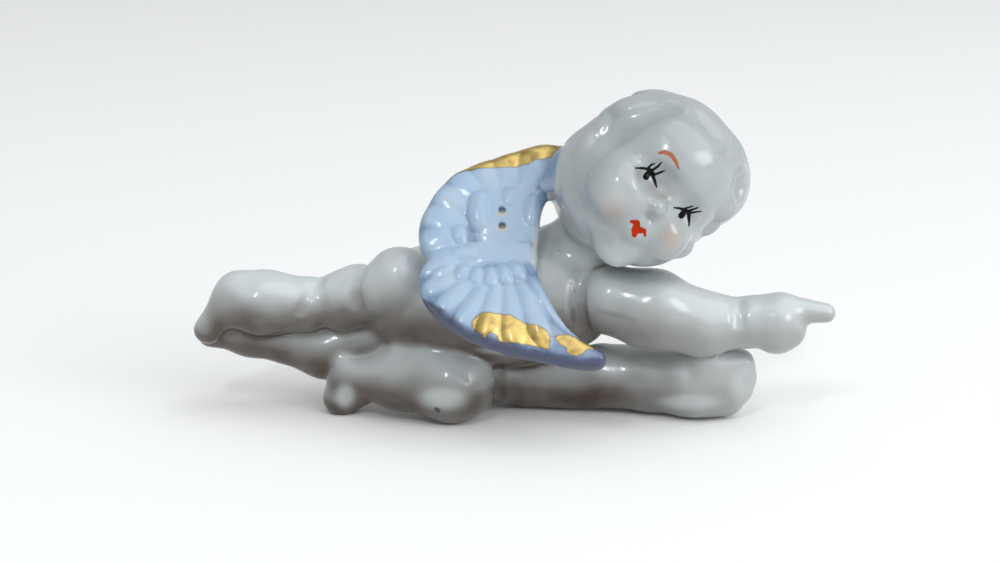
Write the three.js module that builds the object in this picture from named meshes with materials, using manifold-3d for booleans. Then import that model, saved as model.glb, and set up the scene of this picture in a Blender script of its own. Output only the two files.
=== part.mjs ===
// Porcelain angel figurine: a chubby cherub lying on its front, one arm
// pointing ahead, with a pair of feathered wings on its back.
// It is one hollow casting in the kiln and is modelled here as one solid.
// +X runs from the toes to the pointing finger, +Z is up, and the face
// looks towards -Y. The origin is under the middle of the bounding box.
import * as THREE from "three";
import Module from "manifold-3d";

// Driving dimensions, in millimetres
const FIGURE_LENGTH = 120;
const WING_THICKNESS = 3.3;
const HOLE_DIAMETER = 1.5;
const HOLE_SPACING = 3.1;
const HOLE_DEPTH = 2.4;
const FEATHER_RELIEF = 1.0;
const HAIR_RELIEF = 1.0;

// The pose and the carving are shares of the length: the tables below are
// drawn for a figure of this length and scaled to the one above.
const TABLE_LENGTH = 118.9;
const UNIT = FIGURE_LENGTH / TABLE_LENGTH;

// Masses of the body, each a chain of rounded cones: x, y, z and radius
const TORSO = [
  [-18.98, 7.03, 20.81, 9.35],
  [-10.5, 7.03, 20.22, 10.66],
  [1.75, 7.03, 21.4, 11.59],
  [9.62, 6.03, 22.84, 10.85],
];
const BUTTOCK = [
  [-23.91, 1.53, 24.46, 5.24],
  [-20.73, 1.53, 26.95, 5.7],
];
const THIGH = [
  [-28.6, 5.03, 22.3, 6.1],
  [-31.64, 5.03, 21.37, 5.7],
];
const CALF = [
  [-38.03, 5.03, 20.78, 5.24],
  [-46.65, 5.03, 20.98, 5.33],
  [-50.75, 5.03, 21.56, 4.67],
];
const SOLE = [
  [-51.38, 4.53, 23.44, 2.99],
  [-56.82, 4.03, 16, 2.62],
];
const LOWER_LEG = [
  [-56.84, 8.03, 14.04, 2.43],
  [-49.47, 8.03, 13.5, 3.2],
  [-35.28, 8.03, 10.87, 4.86],
  [-24.79, 8.03, 13.84, 5.98],
];
const BENT_LEG = [
  [-16.12, 4.03, 13.06, 6.73],
  [-11.15, -1.27, 6.87, 6.26],
  [-21.11, 0.53, 7.27, 4.67],
  [-29.89, 3.03, 7.07, 3.55],
];
const KNEE_SIDE = { at: [-7.62, -0.27, 6.94], radii: [4.9, 5.0, 5.6] };
const HIP = { at: [-2.59, 6.53, 6.76], radii: [6.08, 6.08, 6.08] };
const BENT_FOOT = [
  [-31.65, 4.53, 9.17, 2.99],
  [-31.89, 3.63, 2.72, 2.99],
  [-28.7, 3.4, 3.6, 2.5],
];
const FAR_UPPER_ARM = [
  [11.78, 14.03, 19.86, 6.36],
  [3.14, 9.03, 6.37, 5.61],
];
const FAR_ELBOW = [
  [2.55, 7.63, 5.22, 5.33],
  [14.13, 6.53, 5.56, 5.8],
];
const FAR_FOREARM = [
  [17.72, 6.03, 6.5, 6.2],
  [26.34, 4.53, 6.3, 6.0],
  [33.31, 2.03, 6.4, 6.36],
];
const FAR_PALM = [
  [33.67, 2.03, 6.8, 6.54],
  [37.72, 1.23, 7.25, 6.54],
];
const FAR_FINGERS = [
  [[35.65, -1.87, 11.34, 2.62], [42.85, -0.57, 10.94, 2.62]],
  [[35.9, -1.87, 8.62, 2.43], [43.34, -0.27, 8.11, 2.43]],
  [[35.6, -1.87, 5.89, 2.43], [42.71, 0.03, 5.27, 2.43]],
  [[34.91, -1.87, 3.54, 2.24], [40.75, 0.33, 2.81, 2.24]],
];
const NECK = [
  [11.47, 7.03, 29.56, 7.11],
  [17.98, 4.03, 36.06, 7.11],
];
const NEAR_ARM = [
  [18.41, -1.97, 23.5, 6.54],
  [26.2, -2.97, 21.5, 6.75],
  [34.79, -2.97, 19.3, 5.5],
  [42.53, -2.97, 19.38, 4.67],
];
const NEAR_HAND = [
  [45.46, -2.97, 19.77, 4.86],
  [48.41, -2.97, 19.58, 5.33],
];
const NEAR_FIST = [
  [49.23, -2.97, 17.27, 3.65],
  [51.04, -2.97, 18.04, 3.37],
];
const POINTING_FINGER = [
  [50.17, -2.97, 22.06, 2.81],
  [57.92, -2.97, 21.3, 1.78],
];

// Head: centre, its own axes (its left, its crown, its gaze) and the masses
const HEAD_CENTRE = [25.61, -0.97, 45.86];
const HEAD_AXES = [
  [0.6412, 0.0809, -0.7631],
  [0.745, 0.1726, 0.6443],
  [0.1839, -0.9817, 0.0504],
];
const SKULL = { at: [-0.5, 0.8, -1.2], radii: [13.7, 15.9, 15.2] };
const LOWER_FACE = { at: [0, -5.0, 3.2], radii: [12.4, 10.6, 11.0] };
const SIDE_HAIR = [
  { at: [15.19, 1.53, 44.19], radii: [7.6, 9.0, 10.5] },
  { at: [36.93, -0.47, 45.75], radii: [6.6, 6.6, 8.0] },
];
// Raised and hollowed features of the face, in the head's axes: near cheek,
// far cheek, chin, muzzle, forehead, bridge, eye hollows, nose, nostrils, mouth
const FACE = [
  { at: [-5.2, -6.0, 9.6], radii: [6.6, 6.2, 6.2], blend: 1.2, hollow: false },
  { at: [5.6, -5.4, 9.2], radii: [4.8, 4.8, 5.2], blend: 1.2, hollow: false },
  { at: [1.7, -12.6, 8.2], radii: [4.2, 3.8, 4.0], blend: 2.0, hollow: false },
  { at: [0.6, -8.2, 11.6], radii: [3.4, 3.2, 3.0], blend: 1.4, hollow: false },
  { at: [-0.6, 5.2, 6.6], radii: [9.6, 7.4, 8.4], blend: 4, hollow: false },
  { at: [-1, 0.2, 17.6], radii: [6, 2.6, 4], blend: 2.4, hollow: true },
  { at: [-5.6, -0.2, 15.9], radii: [3.4, 2.4, 3.0], blend: 1.8, hollow: true },
  { at: [5.4, -0.1, 15.9], radii: [3, 2.2, 3], blend: 1.8, hollow: true },
  { at: [0.0, -3.8, 14.2], radii: [1.8, 1.8, 2.0], blend: 1.0, hollow: false },
  { at: [0.6, -5.9, 15.7], radii: [1.4, 0.9, 1.3], blend: 0.9, hollow: true },
  { at: [0.6, -8.8, 15.3], radii: [1.7, 0.45, 1.2], blend: 0.5, hollow: true },
];
// Locks round the face: longitude, latitude, turn, half-width, rise, stretch
const FRONT_LOCKS = [
  [-89.5, 9.4, 85.3, 3.6, 1.6, 1.4],
  [-76.0, 38.3, 73.7, 4.2, 1.2, 1.9],
  [-84.9, -8.7, 92.9, 3.0, 1.1, 1.6],
  [-51.6, 55.9, 41.6, 4.0, 1.0, 1.5],
  [-0.6, 63.0, 155.6, 3.0, 1.1, 1.7],
  [-81.6, -27.0, 101.2, 3.0, 0.8, 1.6],
  [43.8, 51.1, -63.0, 3.0, 0.9, 1.6],
  [54.1, 38.5, -80.5, 2.9, 1.3, 1.2],
  [55.9, 27.0, 85.4, 2.6, 1.3, 1.3],
  [-83.2, -47.9, 108.1, 2.8, 0.8, 1.9],
  [-60.3, -62.9, 135.0, 2.6, 0.9, 2.0],
  [61.5, 12.0, 91.8, 1.9, 1.0, 1.8],
  [85.7, -2.1, 90.4, 1.7, 0.8, 1.9],
  [54.3, -20.0, 86.6, 1.5, 0.8, 1.9],
  [-12.9, -66.5, -173.9, 2.6, 0.6, 2.0],
  [-34.2, 34.9, 58.0, 2.8, 0.6, 1.6],
  [-1.9, 38.5, -18.1, 2.6, 0.5, 1.3],
  [-71.2, 14.0, 81.8, 2.6, 0.8, 1.5],
];
// Hollows between the locks, given the same way with a depth for a rise
const PARTINGS = [
  [-60.0, 4.0, 70.0, 2.5, 1.0, 2.0],
  [-53.7, 28.6, 65.0, 2.6, 1.1, 1.7],
  [-16.3, 48.2, 157.7, 2.3, 0.9, 1.9],
  [5.8, 43.9, 44.2, 1.8, 0.7, 1.6],
  [48.4, 39.5, 98.4, 1.8, 0.6, 1.5],
];
// Rings of plainer locks on the back: angle from the gaze, and how many
const BACK_LOCK_RINGS = [
  { fromGaze: 112, count: 8, offset: -0.15 },
  { fromGaze: 145, count: 5, offset: 0.5 },
  { fromGaze: 176, count: 1, offset: 0 },
];
const BACK_LOCK = { halfWidth: 4.2, rise: 0.6, stretch: 1.4 };
const LOCK_SINK = 1.6;
const NAPE_LIMIT = -0.6;

// Wings: each is a slab with a flat pattern in its own plane. The first
// number of a point runs along +X, the second outwards from the spine.
const WING_ROOT = [-4.74, -5.97, 31.38];
const FAR_WING = {
  out: [0, 0.5446, 0.8387],
  face: [0, -0.8387, 0.5446],
  curl: 0.004,
  outline: [
    [9.2, -0.8], [9.8, 6.1], [10.4, 10.4], [11.5, 13.5], [14.1, 15.9],
    [18.7, 18.2], [19.7, 21.4], [16.2, 23.0], [13.1, 23.8], [10.7, 24.0],
    [8.3, 23.4], [4.7, 22.0], [0.5, 20.4], [-4.3, 18.6], [-7.7, 15.7],
    [-10.6, 11.2], [-12.2, 6.9], [-12.0, 3.1], [-10.0, -0.4], [-6.7, -1.9],
    [7.2, -3.1],
  ],
  rows: [
    { centre: [4.9, 5.4], count: 8, from: 204, to: 76, reach: [17.9, 17.2],
      length: 10.6, width: 6.6, rise: 0.75 },
    { centre: [4.4, 6.2], count: 4, from: 184, to: 122, reach: [12.2, 11.4],
      length: 7.0, width: 5.4, rise: 1.0 },
  ],
  plates: [
    { centre: [4.0, 9.2], angle: 90, length: 12.6, width: 14.2, rise: 0.9, corners: 4 },
    { centre: [-1.0, 9.6], angle: 92, length: 9.4, width: 4.8, rise: 1.55, corners: 2 },
    { centre: [4.6, 12.2], angle: 90, length: 5.4, width: 4.6, rise: 1.4, corners: 2 },
    { centre: [8.6, 9.6], angle: 86, length: 8.6, width: 4.2, rise: 1.4, corners: 2 },
    { centre: [-4.7, 4.9], angle: 100, length: 4.8, width: 3.8, rise: 1.3, corners: 2 },
    { centre: [-4.2, 1.2], angle: 0, length: 6.4, width: 3.4, rise: 1.1, corners: 2 },
  ],
};
const NEAR_WING = {
  out: [0, -0.7547, -0.6561],
  face: [0, -0.6561, 0.7547],
  curl: 0.006,
  outline: [
    [9.1, -1.3], [9.4, 2.8], [10.6, 6.7], [12.5, 10.6], [14.6, 13.7],
    [17.2, 15.9], [19.6, 17.2], [21.2, 18.1], [21.7, 19.4], [20.6, 20.8],
    [17.4, 20.8], [12.6, 19.9], [5.9, 18.4], [0.4, 16.9], [-4.7, 14.6],
    [-9.1, 10.8], [-11.5, 7.2], [-12.1, 3.5], [-10.7, 0.4], [-8.2, -1.3],
    [-4.6, -3.1], [7.3, -4.2],
  ],
  rows: [
    { centre: [3.3, -1.8], count: 10, from: 184, to: 42, reach: [17.2, 25.6],
      length: 17.0, width: 5.8, rise: 0.75 },
    { centre: [2.6, -1.0], count: 4, from: 122, to: 62, reach: [6.9, 6.2],
      length: 5.4, width: 4.0, rise: 1.25 },
  ],
  plates: [
    { centre: [3.6, -1.4], angle: 0, length: 17.6, width: 7.4, rise: 1.0, corners: 3 },
    { centre: [-6.9, 2.9], angle: 160, length: 6.4, width: 3.4, rise: 1.2, corners: 2 },
    { centre: [-5.4, 5.6], angle: 148, length: 6.4, width: 3.4, rise: 1.05, corners: 2 },
  ],
};
const WING_EDGE_RADIUS = 1.3;
const FEATHER_SOFTNESS = 0.8;
// Thickened leading edge that runs out to the far wing's tip
const FAR_TIP = [
  [6.65, -3.47, 45.67, 1.5],
  [9.93, -1.97, 48.67, 2.43],
  [13.92, -1.47, 49.67, 2.24],
];
// Pair of hanging holes: middle of the pair in the far wing's plane
const HOLE_PAIR = [3.08, 8.27];

// Spacing of the first surface points, finer over the wings, the head and
// the hands: from, to, step. The mesh is then thinned where it is flattest.
const GRID = {
  x: [[-63, -18.6, 1.85], [-18.6, 62, 1.14]],
  y: [[-23.4, 22.5, 1.17]],
  z: [[-2.2, 12.9, 1.5], [12.9, 64.1, 1.14]],
};
const TRIANGLES = 9650;

const rad = THREE.MathUtils.degToRad;

// Rounded union of two distances: a fillet about a quarter of k deep
function join(a, b, k) {
  const h = Math.max(k - Math.abs(a - b), 0) / k;
  return Math.min(a, b) - h * h * k * 0.25;
}

function hollow(a, b, k) {
  return -join(-a, b, k);
}

// Distance to a cone with rounded ends, from a to b
function roundCone(p, a, b) {
  const ba = [b[0] - a[0], b[1] - a[1], b[2] - a[2]];
  const pa = [p[0] - a[0], p[1] - a[1], p[2] - a[2]];
  const l2 = ba[0] * ba[0] + ba[1] * ba[1] + ba[2] * ba[2];
  const dr = a[3] - b[3];
  const a2 = l2 - dr * dr;
  const y = pa[0] * ba[0] + pa[1] * ba[1] + pa[2] * ba[2];
  const z = y - l2;
  let x2 = 0;
  for (let i = 0; i < 3; i++) x2 += (pa[i] * l2 - ba[i] * y) ** 2;
  const y2 = y * y * l2;
  const z2 = z * z * l2;
  const k = Math.sign(dr) * dr * dr * x2;
  if (Math.sign(z) * a2 * z2 > k) return Math.sqrt(x2 + z2) / l2 - b[3];
  if (Math.sign(y) * a2 * y2 < k) return Math.sqrt(x2 + y2) / l2 - a[3];
  return (Math.sqrt((x2 * a2) / l2) + y * dr) / l2 - a[3];
}

// Chain of rounded cones, each running into the next with a fillet
function chain(p, points, fillet) {
  let d = Infinity;
  for (let i = 1; i < points.length; i++) {
    const link = roundCone(p, points[i - 1], points[i]);
    d = i === 1 ? link : join(d, link, fillet);
  }
  return d;
}

// Distance to an ellipsoid whose axes are those of q
function ellipsoid(q, at, r) {
  const e = [q[0] - at[0], q[1] - at[1], q[2] - at[2]];
  const k0 = Math.hypot(e[0] / r[0], e[1] / r[1], e[2] / r[2]);
  const k1 = Math.hypot(e[0] / r[0] ** 2, e[1] / r[1] ** 2, e[2] / r[2] ** 2);
  return (k0 * (k0 - 1)) / Math.max(k1, 1e-6);
}

const dot = (a, b) => a[0] * b[0] + a[1] * b[1] + a[2] * b[2];
const minus = (a, b) => [a[0] - b[0], a[1] - b[1], a[2] - b[2]];
const inAxes = (v, axes) => axes.map((axis) => dot(v, axis));

function unit(v) {
  const l = Math.hypot(v[0], v[1], v[2]);
  return [v[0] / l, v[1] / l, v[2] / l];
}

function cross(a, b) {
  return [
    a[1] * b[2] - a[2] * b[1],
    a[2] * b[0] - a[0] * b[2],
    a[0] * b[1] - a[1] * b[0],
  ];
}

// Bare head before the locks: skull, lower face and the hair at the sides
function bareHead(p, q) {
  let d = ellipsoid(q, SKULL.at, SKULL.radii);
  d = join(d, ellipsoid(q, LOWER_FACE.at, LOWER_FACE.radii), 4);
  for (const side of SIDE_HAIR) d = join(d, ellipsoid(p, side.at, side.radii), 4);
  return d;
}

// How far the bare head reaches from its centre in a direction of its axes
function headReach(n) {
  let near = 5;
  let far = 25;
  for (let i = 0; i < 24; i++) {
    const mid = (near + far) / 2;
    const q = [n[0] * mid, n[1] * mid, n[2] * mid];
    const p = [0, 1, 2].map(
      (i) => HEAD_CENTRE[i] + HEAD_AXES[0][i] * q[0] + HEAD_AXES[1][i] * q[1] + HEAD_AXES[2][i] * q[2],
    );
    if (bareHead(p, q) < 0) near = mid;
    else far = mid;
  }
  return near;
}

// One lock: an ellipsoid seated on the head, turned along its own flow, with
// its middle lifted from the bare head
function lock(n, along, halfWidth, rise, stretch, lift) {
  const seat = headReach(n) + lift;
  return {
    at: [n[0] * seat, n[1] * seat, n[2] * seat],
    axes: [along, cross(n, along), n],
    radii: [halfWidth * stretch, halfWidth, rise * HAIR_RELIEF + LOCK_SINK],
  };
}

function frontLock([longitude, latitude, turn, halfWidth, rise, stretch], lift) {
  const lon = rad(longitude);
  const lat = rad(latitude);
  const n = [Math.sin(lon) * Math.cos(lat), Math.sin(lat), Math.cos(lon) * Math.cos(lat)];
  const east = unit(cross([0, 1, 0], n));
  const north = cross(n, east);
  const c = Math.cos(rad(turn));
  const s = Math.sin(rad(turn));
  const along = [0, 1, 2].map((i) => east[i] * c + north[i] * s);
  return lock(n, along, halfWidth, rise, stretch, lift);
}

function backLocks() {
  const { halfWidth, rise, stretch } = BACK_LOCK;
  const locks = [];
  for (const ring of BACK_LOCK_RINGS) {
    for (let i = 0; i < ring.count; i++) {
      const round = (2 * Math.PI * (i + ring.offset)) / ring.count;
      const tilt = rad(ring.fromGaze);
      const n = [Math.sin(tilt) * Math.cos(round), Math.sin(tilt) * Math.sin(round), Math.cos(tilt)];
      if (n[1] < NAPE_LIMIT) continue;
      const along = unit(cross(n, [0.3, 0.2, 1.0]));
      locks.push(lock(n, along, halfWidth, rise, stretch, -LOCK_SINK));
    }
  }
  return locks;
}

const LOCKS = [...FRONT_LOCKS.map((l) => frontLock(l, -LOCK_SINK)), ...backLocks()];
const HOLLOWS = PARTINGS.map((l) => frontLock(l, LOCK_SINK));

// Nothing of the head is further than this from its centre
const headBound = LOCKS.reduce(
  (far, l) => Math.max(far, Math.hypot(l.at[0], l.at[1], l.at[2]) + l.radii[2]),
  0,
);

function head(p) {
  const v = minus(p, HEAD_CENTRE);
  const away = Math.hypot(v[0], v[1], v[2]) - headBound;
  if (away > LOCK_SINK * 2) return away;
  const q = inAxes(v, HEAD_AXES);
  let d = bareHead(p, q);
  if (Math.abs(d) > headBound / 4) return d;
  for (const k of LOCKS) {
    d = join(d, ellipsoid(inAxes(minus(q, k.at), k.axes), [0, 0, 0], k.radii), 0.7);
  }
  for (const k of HOLLOWS) {
    d = hollow(d, ellipsoid(inAxes(minus(q, k.at), k.axes), [0, 0, 0], k.radii), 1.7);
  }
  for (const f of FACE) {
    const e = ellipsoid(q, f.at, f.radii);
    d = f.hollow ? hollow(d, e, f.blend) : join(d, e, f.blend);
  }
  return d;
}

// Closed outline with its corners cut twice, so that it runs smoothly
function smoothOutline(points) {
  let smooth = points;
  for (let pass = 0; pass < 2; pass++) {
    smooth = smooth.flatMap((a, i) => {
      const b = smooth[(i + 1) % smooth.length];
      return [
        [0.75 * a[0] + 0.25 * b[0], 0.75 * a[1] + 0.25 * b[1]],
        [0.25 * a[0] + 0.75 * b[0], 0.25 * a[1] + 0.75 * b[1]],
      ];
    });
  }
  return smooth;
}

function outlineDistance(x, y, points) {
  let d = Infinity;
  let side = 1;
  for (let i = 0, j = points.length - 1; i < points.length; j = i, i++) {
    const [ax, ay] = points[i];
    const [bx, by] = points[j];
    const ex = bx - ax;
    const ey = by - ay;
    const wx = x - ax;
    const wy = y - ay;
    const t = Math.min(1, Math.max(0, (wx * ex + wy * ey) / (ex * ex + ey * ey)));
    d = Math.min(d, Math.hypot(wx - t * ex, wy - t * ey));
    const above = y >= ay;
    const under = y < by;
    const left = ex * wy > ey * wx;
    if (above === under && under === left) side = -side;
  }
  return side * d;
}

// Feathers of a wing: rows fanned about a centre, and rounded plates
function feathers(wing) {
  const lobes = wing.plates.map((plate) => ({ ...plate, angle: rad(plate.angle) }));
  for (const row of wing.rows) {
    for (let i = 0; i < row.count; i++) {
      const t = i / (row.count - 1);
      const angle = rad(row.from + (row.to - row.from) * t);
      const middle = row.reach[0] + (row.reach[1] - row.reach[0]) * t - row.length / 2;
      lobes.push({
        centre: [
          row.centre[0] + Math.cos(angle) * middle,
          row.centre[1] + Math.sin(angle) * middle,
        ],
        angle,
        length: row.length,
        width: row.width,
        rise: row.rise,
        corners: 2,
      });
    }
  }
  return lobes;
}

function makeWing(wing) {
  const outline = smoothOutline(wing.outline);
  const lobes = feathers(wing);
  const half = WING_THICKNESS / UNIT / 2 - WING_EDGE_RADIUS;
  return (p) => {
    const v = minus(p, WING_ROOT);
    const a = v[0];
    const b = dot(v, wing.out);
    const n = dot(v, wing.face) + wing.curl * b * b;
    if (Math.abs(n) > 4 * WING_THICKNESS) return Math.abs(n) - 2 * WING_THICKNESS;
    const flat = outlineDistance(a, b, outline) + WING_EDGE_RADIUS;
    let relief = 0;
    for (const f of lobes) {
      const ex = a - f.centre[0];
      const ey = b - f.centre[1];
      const c = Math.cos(f.angle);
      const s = Math.sin(f.angle);
      const x = Math.abs(ex * c + ey * s) / (f.length / 2);
      const y = Math.abs(ey * c - ex * s) / (f.width / 2);
      const dome = 1 - x ** f.corners - y ** f.corners;
      if (dome > 0) relief = Math.max(relief, f.rise * FEATHER_RELIEF * dome ** FEATHER_SOFTNESS);
    }
    const deep = Math.max(n - half - relief, -n - half);
    const outside = Math.hypot(Math.max(flat, 0), Math.max(deep, 0));
    return outside - WING_EDGE_RADIUS + Math.min(Math.max(flat, deep), 0);
  };
}

const farWing = makeWing(FAR_WING);
const nearWing = makeWing(NEAR_WING);

function wings(p) {
  return join(join(nearWing(p), farWing(p), 1.5), chain(p, FAR_TIP, 2), 1.2);
}

function trailingLegs(p) {
  let d = join(chain(p, THIGH, 2), chain(p, CALF, 4), 1.2);
  return join(d, chain(p, SOLE, 2), 3);
}

function bentLeg(p) {
  let d = chain(p, BENT_LEG, 4);
  d = join(d, ellipsoid(p, KNEE_SIDE.at, KNEE_SIDE.radii), 2);
  d = join(d, ellipsoid(p, HIP.at, HIP.radii), 1);
  return join(d, chain(p, BENT_FOOT, 2), 2);
}

function farArm(p) {
  let d = chain(p, FAR_UPPER_ARM, 2);
  d = join(d, chain(p, FAR_ELBOW, 2), 2);
  d = join(d, chain(p, FAR_FOREARM, 2), 1.2);
  d = join(d, chain(p, FAR_PALM, 2), 2);
  for (const finger of FAR_FINGERS) d = join(d, chain(p, finger, 1), 1.8);
  return d;
}

function nearArm(p) {
  let d = chain(p, NEAR_ARM, 3);
  d = join(d, chain(p, NEAR_HAND, 2), 1.5);
  d = join(d, chain(p, NEAR_FIST, 2), 1.5);
  return join(d, chain(p, POINTING_FINGER, 2), 1.5);
}

// The whole figurine as one distance, negative inside the porcelain
function figurine(p) {
  let d = chain(p, TORSO, 6);
  d = join(d, trailingLegs(p), 1.4);
  d = join(d, chain(p, BUTTOCK, 2), 1.6);
  d = join(d, chain(p, LOWER_LEG, 3), 1.2);
  d = join(d, bentLeg(p), 1.2);
  d = join(d, farArm(p), 1.2);
  d = join(d, chain(p, NECK, 2), 3);
  d = join(d, wings(p), 2.5);
  d = join(d, nearArm(p), 0.8);
  return join(d, head(p), 0.8);
}

function gridLines(spans) {
  const lines = [];
  for (const [from, to, step] of spans) {
    const count = Math.round((to - from) / step);
    for (let i = lines.length ? 1 : 0; i <= count; i++) {
      lines.push(from + ((to - from) * i) / count);
    }
  }
  return lines;
}

// Values of the distance on the grid, nudged so that no two lumps touch
// along a single edge or at a single corner
function sample(field, lines) {
  const [nx, ny, nz] = lines.map((l) => l.length);
  const at = (i, j, k) => (i * ny + j) * nz + k;
  const v = new Float64Array(nx * ny * nz);
  for (let i = 0; i < nx; i++)
    for (let j = 0; j < ny; j++)
      for (let k = 0; k < nz; k++)
        v[at(i, j, k)] = field([lines[0][i], lines[1][j], lines[2][k]]);
  const step = [ny * nz, nz, 1];
  const fill = (corners) => {
    const open = corners.filter((c) => v[c] >= 0);
    const least = open.reduce((a, b) => (v[a] < v[b] ? a : b));
    v[least] = -1e-3;
  };
  let changed = true;
  while (changed) {
    changed = false;
    for (let i = 0; i < nx - 1; i++)
      for (let j = 0; j < ny - 1; j++)
        for (let k = 0; k < nz - 1; k++) {
          const o = at(i, j, k);
          for (const [s, t] of [[step[0], step[1]], [step[1], step[2]], [step[0], step[2]]]) {
            const c = [o, o + s, o + s + t, o + t];
            const inside = c.map((x) => v[x] < 0);
            if (inside[0] === inside[2] && inside[1] === inside[3] && inside[0] !== inside[1]) {
              fill(c);
              changed = true;
            }
          }
          const cell = [];
          for (let n = 0; n < 8; n++) {
            cell.push(o + (n & 1 ? step[0] : 0) + (n & 2 ? step[1] : 0) + (n & 4 ? step[2] : 0));
          }
          const inside = cell.map((x) => v[x] < 0);
          const total = inside.filter(Boolean).length;
          for (let n = 0; n < 4; n++) {
            const pair = inside[n] === inside[7 - n];
            if (pair && ((total === 2 && inside[n]) || (total === 6 && !inside[n]))) {
              fill(cell);
              changed = true;
            }
          }
        }
  }
  return { v, at, size: [nx, ny, nz] };
}

function gradient(field, p) {
  const e = 0.02;
  return unit(
    [0, 1, 2].map((i) => {
      const a = [...p];
      const b = [...p];
      a[i] += e;
      b[i] -= e;
      return field(a) - field(b);
    }),
  );
}

// Moves a point onto the surface, no further than a share of its cell
function settle(field, p, reach) {
  let q = p;
  for (let pass = 0; pass < 3; pass++) {
    const d = field(q);
    const g = gradient(field, q);
    q = q.map((x, i) => {
      const wanted = x - g[i] * d * 0.9;
      return Math.min(p[i] + reach[i], Math.max(p[i] - reach[i], wanted));
    });
  }
  return q;
}

// Closed surface through the grid: one point a crossed cell, one quad a
// crossed grid line
function surface(field, spans) {
  const lines = [gridLines(spans.x), gridLines(spans.y), gridLines(spans.z)];
  const { v, at, size } = sample(field, lines);
  const [nx, ny, nz] = size;
  const number = new Int32Array(nx * ny * nz).fill(-1);
  const points = [];
  for (let i = 0; i < nx - 1; i++)
    for (let j = 0; j < ny - 1; j++)
      for (let k = 0; k < nz - 1; k++) {
        const sum = [0, 0, 0];
        let crossings = 0;
        const corner = (n) => [i + (n & 1), j + ((n >> 1) & 1), k + ((n >> 2) & 1)];
        for (let n = 0; n < 8; n++)
          for (const bit of [1, 2, 4]) {
            if (n & bit) continue;
            const a = corner(n);
            const b = corner(n | bit);
            const va = v[at(...a)];
            const vb = v[at(...b)];
            if (va < 0 === vb < 0) continue;
            const t = va / (va - vb);
            for (let c = 0; c < 3; c++) {
              sum[c] += lines[c][a[c]] * (1 - t) + lines[c][b[c]] * t;
            }
            crossings++;
          }
        if (!crossings) continue;
        const p = sum.map((s) => s / crossings);
        const reach = [i, j, k].map((n, c) => (lines[c][n + 1] - lines[c][n]) * 0.4);
        number[at(i, j, k)] = points.length;
        points.push(settle(field, p, reach));
      }
  const triangles = [];
  const mid = (a, b) => [0, 1, 2].map((c) => (points[a][c] + points[b][c]) / 2);
  const quad = (a, b, c, d) => {
    const first = Math.abs(field(mid(a, c)));
    const second = Math.abs(field(mid(b, d)));
    if (first < second) triangles.push(a, b, c, a, c, d);
    else triangles.push(a, b, d, b, c, d);
  };
  for (let i = 0; i < nx - 1; i++)
    for (let j = 0; j < ny - 1; j++)
      for (let k = 0; k < nz - 1; k++)
        for (let axis = 0; axis < 3; axis++) {
          const next = [i, j, k];
          if (!next[(axis + 1) % 3] || !next[(axis + 2) % 3]) continue;
          next[axis] += 1;
          const here = v[at(i, j, k)] < 0;
          if (here === v[at(...next)] < 0) continue;
          const cell = (s, t) => {
            const c = [i, j, k];
            c[(axis + 1) % 3] += s;
            c[(axis + 2) % 3] += t;
            return number[at(...c)];
          };
          const ring = [cell(-1, -1), cell(0, -1), cell(0, 0), cell(-1, 0)];
          quad(...(here ? ring : ring.reverse()));
        }
  return { points, triangles };
}

// Sums of squared distances to planes, kept as ten numbers
function planeError(a, b, c) {
  const n = cross(minus(b, a), minus(c, a));
  const size = Math.hypot(n[0], n[1], n[2]);
  if (size < 1e-12) return new Float64Array(10);
  const [x, y, z] = [n[0] / size, n[1] / size, n[2] / size];
  const w = -(x * a[0] + y * a[1] + z * a[2]);
  const terms = [x * x, x * y, x * z, x * w, y * y, y * z, y * w, z * z, z * w, w * w];
  return Float64Array.from(terms, (t) => t * size);
}

const added = (a, b) => a.map((t, i) => t + b[i]);

function errorAt(e, [x, y, z]) {
  const squares = e[0] * x * x + e[4] * y * y + e[7] * z * z + e[9];
  return squares + 2 * (e[1] * x * y + e[2] * x * z + e[3] * x + e[5] * y * z + e[6] * y + e[8] * z);
}

// Point of least error, near the middle of a and b where it isn't clear
function bestPoint(e, a, b) {
  const mid = [0, 1, 2].map((i) => (a[i] + b[i]) / 2);
  const hold = 1e-3 * (e[0] + e[4] + e[7]) + 1e-9;
  const rows = [
    [e[0] + hold, e[1], e[2]],
    [e[1], e[4] + hold, e[5]],
    [e[2], e[5], e[7] + hold],
  ];
  const goal = [hold * mid[0] - e[3], hold * mid[1] - e[6], hold * mid[2] - e[8]];
  const yz = cross(rows[1], rows[2]);
  const zx = cross(rows[2], rows[0]);
  const xy = cross(rows[0], rows[1]);
  const whole = dot(rows[0], yz);
  return [0, 1, 2].map((i) => (goal[0] * yz[i] + goal[1] * zx[i] + goal[2] * xy[i]) / whole);
}

// Heap that gives back its cheapest entry first
function makeHeap() {
  const heap = [];
  const swap = (i, j) => {
    [heap[i], heap[j]] = [heap[j], heap[i]];
  };
  const push = (entry) => {
    let i = heap.push(entry) - 1;
    while (i && heap[(i - 1) >> 1].cost > heap[i].cost) {
      swap(i, (i - 1) >> 1);
      i = (i - 1) >> 1;
    }
  };
  const pop = () => {
    const top = heap[0];
    const last = heap.pop();
    if (heap.length) heap[0] = last;
    for (let i = 0, least = 0; ; i = least) {
      for (const child of [2 * i + 1, 2 * i + 2]) {
        if (child < heap.length && heap[child].cost < heap[least].cost) least = child;
      }
      if (least === i) return top;
      swap(i, least);
    }
  };
  return { heap, push, pop };
}

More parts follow.
